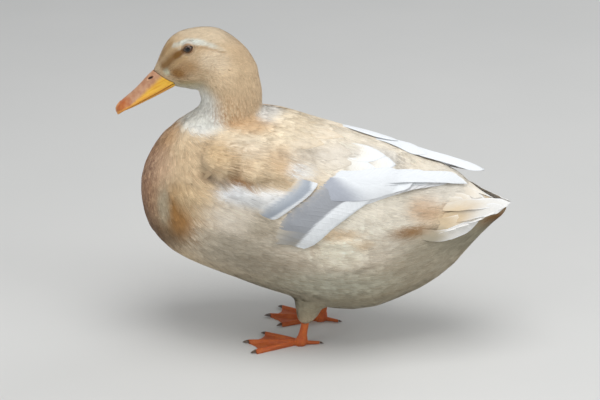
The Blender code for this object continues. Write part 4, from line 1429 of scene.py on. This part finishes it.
# %% Dress both wings
FAR_FEATHERS = [
    ([(-10, -34, 260), (30, -30, 252), (60, -24, 245), (96, -18, 234)], 24),
    ([(34, -26, 252), (70, -18, 243), (104, -13, 231), (130, -12, 221)], 22),
    ([(60, -26, 246), (92, -16, 236), (126, -14, 224), (160, -18, 212.5), WING_TIPS[-1]], 19)]
for hand, side_name in ((1, "left"), (-1, "right")):
    sheaf = Sheaf(hand)
    for lay in (lay_primaries, lay_secondaries, lay_greater_coverts, lay_long_feathers, lay_scapulars):
        lay(sheaf)
    for spine, width in FAR_FEATHERS if hand < 0 else ():
        sheaf.add(spine, width, LONG_WHITE, facing=(0.25, 0.15, 0.96), lift=(-2.0, 2.0), rows=28, tip=2.2,
                  sharp=0.4)
    sheaf.piece(side_name + "_wing_feathers", "wing_" + side_name)

# %% [markdown]
# ## The tail
#
# Twelve stiff tail feathers spread in a narrow fan, the middle pair on top. Each one's shaft is given
# in the fan's own measures: how far from the tail's root, at which angle, and how high.

# %% Tail feathers
TAIL_AHEAD, TAIL_UP = tipped(-12)
TAIL_AHEAD, TAIL_UP = -np.array(TAIL_AHEAD) * (1, 1, -1), np.array(TAIL_UP) * (-1, 1, 1)
TAIL_FAN = 39  # angle of the outermost feathers, in degrees
TAIL_REACH = [(0, 145), (5, 142), (11, 131), (22, 113), (34, 96), (44, 80)]


def tail_point(reach, angle, high):
    """A point at that reach in millimetres and angle in degrees within the fan."""
    a = math.radians(angle)
    ahead = TAIL_AHEAD * math.cos(a) + np.array((0, math.sin(a), 0))
    return np.array(TAIL_ROOT) / MM + ahead * reach + TAIL_UP * high


tail = Sheaf()
TIP_WHITE = (234, 233, 230)
white_web = shades((0, (222, 210, 192)), (0.5, (228, 223, 213)), (1, TIP_WHITE))
white_web = edged(white_web, (240, 240, 239), 0.8)
cream_web = shades((0, (228, 213, 190)), (0.5, (232, 218, 196)), (1, (242, 236, 224)))
cream_web = edged(cream_web, (244, 238, 228), 0.8)
beige_web = shades((0, (214, 192, 158)), (0.8, (218, 200, 170)), (0.93, TIP_WHITE), (1, TIP_WHITE))
for i in range(6):
    for hand in (1, -1):
        angle = hand * (TAIL_FAN - i * TAIL_FAN / 5.6)
        reach = np.interp(abs(angle), *zip(*TAIL_REACH))
        high = -0.8 + 0.55 * i
        tail.add([tail_point(8, angle * 0.8, high), tail_point(reach * 0.6, angle * 0.97, high),
                  tail_point(reach, angle, high)], 18, beige_web if i == 5 else white_web, facing=TAIL_UP,
                 tip=1.6, sharp=0.6, arch=0.5, lift=(0, 0), webs=HALF_WEBS)
print(len(tail.parts), "tail feathers")

# %% [markdown]
# Softer coverts lie over the roots of the fan in two rows, and long soft feathers close its lower
# edges. Those of the right side lie a little lower, as the tail isn't held quite level.

# %% Tail coverts and lower edges
def rump_place(reach, angle):
    """A point just outside the rump, over that reach and angle of the tail's fan."""
    a = math.radians(angle)
    return tail_point(reach, angle, 0) + np.array((0, 26 * math.sin(a * 1.6), 26 * math.cos(a * 1.6)))


for row, (root, reach, lift, count) in enumerate(((54, 138, 0.5, 7), (40, 122, 0.8, 6))):
    for k in range(count):
        angle = (k - (count - 1) / 2) * (40 - 8 * row) / (count - 1) + CHANCE.normal(0, 1.5)
        end = reach - (0.75 + 0.1 * row) * abs(angle) + CHANCE.normal(0, 3)
        start = max(root - 0.5 * abs(angle), 2)
        tail.add([rump_place(start, angle * 0.85), rump_place((start + end) / 2, angle * 0.96),
                  rump_place(end, angle)], 14, blended(cream_web if row else white_web, 0.3, 0.9), tip=1.6,
                 sharp=0.9, arch=0.4, lift=(-2.5, lift), webs=HALF_WEBS, rows=18, nicks=0.08)
LOWER_EDGE = [
    # places along the shaft, width, colours, the way it is lifted
    ([(112, -64, 157), (138, -56, 151), (155, -48, 150.5), (170, -40, 154), (192, -26, 161)],
     14, white_web, (0, 1, 0)),
    ([(128, -57, 164), (150, -49, 162), (168, -40, 163), (186, -29, 166), (206, -17, 168.5)],
     14, cream_web, (0.1, 1, 0.4)),
    ([(140, -50, 170), (163, -42, 167), (182, -31, 167), (201, -20, 169), (221, -9, 170)],
     13, white_web, (0.1, 1, 0.7)),
    ([(146, -45, 180), (168, -36, 177), (188, -24, 174), (208, -10, 172.5), (227, -3, 171.5)],
     12, white_web, (0.1, 0.8, 1))]
for hand, lowered in ((1, 0), (-1, 3.5)):
    for spine, width, web, away in LOWER_EDGE:
        over = np.array(away) * (1, -hand, 1)
        tail.add(np.array(spine) * (1, hand, 1) - (0, 0, lowered), width, blended(web, 0.3, 0.7),
                 over=over / np.linalg.norm(over), tip=2.0, sharp=0.8, arch=0.5, lift=(-6.5, 0.6), rising=2.0,
                 webs=HALF_WEBS, rows=22, nicks=0.08)
tail.piece("tail_feathers", "tail")

# %% [markdown]
# ## The bill
#
# Each half of the bill starts as a copy of its solid. It is remeshed finely and then shaped along its
# own length and height: an oval nostril is pressed in near the ridge, the side is hollowed a little,
# the edge along the mouth turns out in a lip, and the nail stands up at the tip.

# %% Shape the bill
def along_and_above(points):
    """Distance of places along the bill from the mouth's corner, and above it, in millimetres."""
    away = (points - np.array(MOUTH_CORNER)) / MM
    return away @ np.array(BILL_FORWARD), away @ np.array(BILL_UP)


def oval(a, b, middle, reach, softness):
    """1 inside an oval on two measures and 0 outside it."""
    away = np.hypot((a - middle[0]) / reach[0], (b - middle[1]) / reach[1])
    return smooth((1 - away) / softness + 0.5)


BILL_GRID, LOWER_BILL_GRID = 0.00055, 0.0006
RIDGE = ((0, 10, 18, 27.5, 37, 46, 56, 66, 74, 80), (27, 26, 24.3, 21.7, 18.3, 15.5, 13, 11, 8.8, 2.2))
NOSTRIL = (22.5, 18.6)  # its middle, along the bill and above the mouth's corner
NAIL = (75, 0)
upper_bill = copy_of(["bill_upper"], "upper_bill")
use_modifier(upper_bill, "REMESH", mode="VOXEL", voxel_size=BILL_GRID)
use_modifier(upper_bill, "SMOOTH", factor=0.5, iterations=8)
points, outward = points_of(upper_bill), normals_of(upper_bill)
s, h = along_and_above(points)
y = points[:, 1] / MM
top = np.interp(s, *RIDGE)
level = h / np.maximum(top, 1)
on_side = smooth((np.abs(y) - 3) / 3)
change = -1.9 * oval(s, h, NOSTRIL, (3.6, 1.3), 0.6) * on_side
change += 0.35 * (oval(s, h, (22.5, 18.7), (5.4, 2.8), 0.8) - oval(s, h, NOSTRIL, (3.8, 1.6), 0.5)) * on_side
change -= 0.55 * oval(s, level, (44, 0.55), (24, 0.26), 1.0) * on_side
change += 0.30 * smooth((0.22 - level) / 0.1) * smooth((s - 6) / 8) * on_side
change -= 0.30 * oval(s, level, (42, 0.27), (36, 0.045), 1.0) * on_side
nail = oval(s, y, NAIL, (6.5, 4.6), 0.35) * smooth((level - 0.2) / 0.3)
nail_edge = oval(s, y, NAIL, (7.6, 5.6), 0.25) * smooth((level - 0.2) / 0.3)
change += 0.45 * nail - 0.25 * (nail_edge - nail)
put_points(upper_bill, points + outward * (change * MM)[:, None])
use_modifier(upper_bill, "SMOOTH", factor=0.5, iterations=1)
lower_bill = copy_of(["bill_lower"], "lower_bill")
use_modifier(lower_bill, "REMESH", mode="VOXEL", voxel_size=LOWER_BILL_GRID)
use_modifier(lower_bill, "SMOOTH", factor=0.5, iterations=4)
print("bill", len(upper_bill.data.polygons) + len(lower_bill.data.polygons), "faces")

# %% [markdown]
# The bill is orange-yellow on its sides, dull pink along its ridge and orange at its tip, with a
# paler nail. The colour is mixed from the distance along the bill and above the mouth, which are
# worked out from the place of each point, and fine streaks run lengthwise. The nostril's opening is
# painted nearly black, as painted shade.

# %% Bill material
def bill_material():
    board = Board("bill_horn", Roughness=0.42, Specular_IOR_Level=0.35, Coat_Weight=0.12, Coat_Roughness=0.25)
    (x, y, z), point = board.place()  # s runs along the bill and h above the mouth, in millimetres
    x, z = x - MOUTH_CORNER[0], z - MOUTH_CORNER[2]
    s = (x * BILL_FORWARD[0] + z * BILL_FORWARD[2]) * 1000
    h = (x * BILL_UP[0] + z * BILL_UP[2]) * 1000
    top = 27.5 - s * 0.10 - (s - 20).step(0, 44) * 11.0
    level = h / top
    streaks = board.noise(board.xyz(s * 0.05, y * 700, h * 0.7), 1.0, 3)
    mottle = board.noise(point, 180, 4)
    side = board.blend(streaks.step(0.35, 0.75), hue(238, 186, 62), hue(222, 154, 44))
    ridge = board.blend(mottle.step(0.35, 0.7), hue(197, 150, 116), hue(180, 128, 96))
    ridge_mask = (level + s * 0.0066 + (mottle - 0.5) * 0.2).step(0.47, 0.74)
    colour = board.blend(ridge_mask, side, ridge)
    tip = board.blend(mottle.step(0.3, 0.7), hue(200, 114, 42), hue(184, 94, 38))
    colour = board.blend((s + (mottle - 0.5) * 14).step(50, 68) * 0.85, colour, tip)
    edge = (h - 2.6).step(1.4, -1.4) * (s - 2).step(0, 8)
    colour = board.blend(edge * 0.75, colour, hue(224, 158, 72))
    nail = (s - 69).step(0, 3) * (y.size() * 1000 - 5.0).step(1.0, -1.0)
    colour = board.blend(nail * 0.7, colour, hue(222, 160, 104))
    base = (s + level * 14).step(22, 12) * (level - 0.5).step(0, 0.3)
    colour = board.blend(base * 0.6, colour, hue(142, 96, 62))
    # painted shade: the nostril's opening nearly black, as the inside of the hole is in shade
    pit_s, pit_h = (s - 22.5) / 3.4, (h - 18.6) / 1.3
    nostril_shade = (pit_s * pit_s + pit_h * pit_h).step(1.3, 0.5) * (y.size() * 1000).step(2.5, 4.5)
    colour = board.blend(nostril_shade, colour, hue(58, 34, 22))
    return board.plug(Base_Color=colour, Normal=board.bumps(streaks + mottle, 0.25, 0.0003))


BILL_FINISH = bill_material()
finished(upper_bill, BILL_FINISH, "bill_horn", "bill_upper")
finished(lower_bill, BILL_FINISH, "bill_horn", "bill_lower")
print("bill dressed in", BILL_FINISH.name)

# %% [markdown]
# ## The eyes
#
# A duck's eye is a dark ball with a brown iris round a black pupil, under a clear wet cornea that
# bulges a little. A UV sphere is turned so that its poles face outwards, and its outer cap is drawn
# out to make the cornea.

# %% Make the eyes
def eye_material():
    board = Board("dark_eye", Roughness=0.2, Specular_IOR_Level=0.25, Coat_Weight=0.55, Coat_Roughness=0.03)
    (x, _, z), _ = board.place()
    x, z = x - EYE_MIDDLE[0], z - EYE_MIDDLE[2]
    ahead = (x * HEAD_FORWARD[0] + z * HEAD_FORWARD[2]) * 1000
    above = (x * HEAD_UP[0] + z * HEAD_UP[2]) * 1000
    away = (ahead * ahead + above * above) ** 0.5
    fibres = board.noise(board.xyz(ahead / (away + 0.1) * 4, above / (away + 0.1) * 4, away), 2.5, 3)
    iris = board.blend(fibres.step(0.3, 0.7), hue(58, 40, 28), hue(92, 66, 46))
    colour = board.blend(away.step(2.4, 2.8), hue(7, 6, 6), iris)
    colour = board.blend(away.step(4.3, 5.0), colour, hue(26, 18, 14))
    return board.plug(Base_Color=colour)


EYE_FINISH = eye_material()
for hand, node in ((1, "eye_left"), (-1, "eye_right")):
    bpy.ops.object.select_all(action="DESELECT")
    bpy.ops.mesh.primitive_uv_sphere_add(segments=40, ring_count=24, radius=EYE_RADIUS)
    eye = bpy.context.object
    eye.name = node.replace("eye", "eyeball")
    edit(bpy.ops.transform.rotate, value=math.radians(90) * hand, orient_axis="X", center_override=(0, 0, 0))
    edit(bpy.ops.transform.translate, value=eye_middle(hand))
    points = points_of(eye)
    out = -hand * (points[:, 1] - eye_middle(hand)[1])
    points[:, 1] -= hand * 0.35 * MM * smooth((out / EYE_RADIUS - 0.75) / 0.2)
    # the hidden half of the ball is slimmer, so that it stays under the lids
    middle = np.array(eye_middle(hand))
    slim = 1 - 0.25 * smooth((0.5 - out / EYE_RADIUS) / 0.5)
    points[:, (0, 2)] = middle[[0, 2]] + (points[:, (0, 2)] - middle[[0, 2]]) * slim[:, None]
    put_points(eye, points)
    finished(eye, EYE_FINISH, "dark_eye", node)
print("eyes", len(eye.data.polygons), "faces each")

# %% [markdown]
# ## Feet
#
# The shank and the webbed foot of each side are joined and remeshed, and get their scales: bands
# across the top of each toe and up the front of the shank, and a fine net of small scales elsewhere.

# %% Shape the feet
ANKLE = {1: Vector((-0.0104, -0.036, 0.0105)), -1: Vector((0.0056, 0.036, 0.0105))}
TOES = ((-27, 49), (3, 61), (31, 57))  # angle from straight ahead, and length in millimetres
FOOT_GRID = 0.0007
GROOVE = 0.28 * MM


def foot_piece(hand, name, nodes):
    foot = copy_of(nodes, name)
    use_modifier(foot, "REMESH", mode="VOXEL", voxel_size=FOOT_GRID)
    use_modifier(foot, "SMOOTH", factor=0.5, iterations=3)
    points, outward = points_of(foot), normals_of(foot)
    away = (points - np.array(ANKLE[hand])) / MM
    bands = np.zeros(len(points))
    for angle, length in TOES:
        a = math.radians(angle)
        way = np.array((-math.cos(a), hand * math.sin(a)))
        t, across = away[:, :2] @ way, away[:, :2] @ np.array((-way[1], way[0]))
        near = smooth((3.4 - np.abs(across)) / 1.5) * smooth((t - 4) / 4) * smooth((length - 4 - t) / 4)
        bands = np.maximum(bands, near * (0.5 + 0.5 * np.cos(t * 2 * math.pi / 2.6)))
    up_shank = smooth((points[:, 2] - 0.014) / 0.005) * smooth((-outward[:, 0] + 0.1) / 0.5)
    bands = np.maximum(bands, up_shank * (0.5 + 0.5 * np.cos(points[:, 2] / MM * 2 * math.pi / 3.0)))
    above_floor = smooth((points[:, 2] - 0.002) / 0.002)
    put_points(foot, points - outward * (GROOVE * (1 - np.sqrt(bands)) * (bands > 0) * above_floor)[:, None])
    return foot


def foot_material():
    board = Board("orange_skin", Roughness=0.5, Specular_IOR_Level=0.4, Coat_Weight=0.1, Coat_Roughness=0.4)
    (_, _, z), point = board.place()
    net = board.cells("DISTANCE_TO_EDGE", point, 620)
    mottle = board.noise(point, 120, 4)
    colour = board.blend(mottle.step(0.3, 0.7), hue(214, 112, 46), hue(192, 86, 34))
    colour = board.blend(net.step(0.10, 0.0) * 0.45, colour, hue(150, 70, 34))
    colour = board.blend((z - 0.004).step(0.002, -0.002) * 0.35, colour, hue(160, 84, 44))
    return board.plug(Base_Color=colour, Normal=board.bumps(net.step(0.0, 0.25), 0.6, 0.0004))


FOOT_FINISH = foot_material()
for hand, side_name in ((1, "left"), (-1, "right")):
    nodes = ["shank_" + side_name, "foot_" + side_name]
    foot = foot_piece(hand, side_name + "_webbed_foot", nodes)
    finished(foot, FOOT_FINISH, "orange_skin", *nodes)
    print(foot.name, len(foot.data.polygons), "faces")

# %% [markdown]
# The claws keep their solids, in dark horn that is finely streaked with paler horn.

# %% Claw material
def claw_material():
    board = Board("claw_horn", Roughness=0.35, Specular_IOR_Level=0.5)
    _, point = board.place()
    lengthwise = board.add("ShaderNodeVectorMath", {"operation": "MULTIPLY"}, [point, (150, 700, 700)])
    streaks = board.noise(lengthwise, 1.0, 3)
    colour = board.blend(streaks.step(0.3, 0.75), hue(58, 44, 36), hue(120, 98, 80))
    return board.plug(Base_Color=colour, Normal=board.bumps(streaks, 0.3, 0.0002))


CLAW_FINISH = claw_material()
claws = [node for name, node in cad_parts.items() if name.startswith("claw")]
for claw in claws:
    claw.data.materials.clear()
    claw.data.materials.append(CLAW_FINISH)
print(len(claws), "claws")

# %% [markdown]
# ## Floor, light and camera
#
# The model stands on a plain pale floor under one large soft lamp overhead and two weaker ones at the
# sides, as in a photographer's studio. The camera looks down a little on the duck's left side.

# %% Set the stage
bpy.ops.object.select_all(action="DESELECT")
bpy.ops.mesh.primitive_circle_add(vertices=96, radius=9, fill_type="NGON")
floor = bpy.context.object
floor.name = "floor"
floor_board = Board("pale_floor", Roughness=0.9)
_, floor_point = floor_board.place()
floor.data.materials.append(floor_board.plug(Base_Color=floor_board.blend(
    floor_board.noise(floor_point, 3), hue(206, 206, 203), hue(214, 213, 210))))


def soft_lamp(name, place, aim, size, watts, colour=(1, 1, 1)):
    """A square area lamp that faces a point."""
    data = bpy.data.lights.new(name, "AREA")
    data.size, data.energy, data.color = size, watts, colour
    lamp = placed(name, data)
    lamp.location = place
    lamp.rotation_euler = (Vector(aim) - Vector(place)).to_track_quat("-Z", "Y").to_euler()


soft_lamp("overhead_lamp", (0.15, -0.45, 2.0), (0, 0, 0.2), 1.4, 24)
soft_lamp("front_lamp", (-1.6, -1.8, 1.2), (0, 0, 0.2), 1.2, 9, (0.96, 0.98, 1.0))
soft_lamp("tail_lamp", (2.0, -1.2, 1.3), (0, 0, 0.2), 1.2, 11, (0.97, 0.98, 1.0))
soft_lamp("back_lamp", (1.4, 1.8, 1.6), (0, 0, 0.25), 1.0, 9, (0.97, 0.98, 1.0))
world = bpy.data.worlds.new("studio")
world.use_nodes = True
world.node_tree.nodes["Background"].inputs["Color"].default_value = (0.78, 0.80, 0.83, 1)
world.node_tree.nodes["Background"].inputs["Strength"].default_value = 0.55
bpy.context.scene.world = world
bpy.context.scene.view_settings.view_transform = "Standard"

# %% [markdown]
# The camera stands almost three metres away with a long lens, so that the near and far parts of the
# duck keep their true sizes beside each other.

# %% Place the camera
AIM = Vector((-0.0144, 0, 0.1657))
CAMERA_SIDE, CAMERA_HEIGHT, CAMERA_AWAY = math.radians(6), math.radians(21), 2.8
LENS = 146.1
back = Vector((math.sin(CAMERA_SIDE) * math.cos(CAMERA_HEIGHT),
               -math.cos(CAMERA_SIDE) * math.cos(CAMERA_HEIGHT), math.sin(CAMERA_HEIGHT)))
camera = placed("camera", bpy.data.cameras.new("camera"))
camera.location = AIM + back * CAMERA_AWAY
camera.rotation_euler = back.to_track_quat("Z", "Y").to_euler()
camera.data.lens = LENS
bpy.context.scene.camera = camera
print("camera at", [round(v, 2) for v in camera.location])

# %% [markdown]
# The coat surface has done its work and is removed.

# %% Clear away and finish
bpy.data.objects.remove(coat)
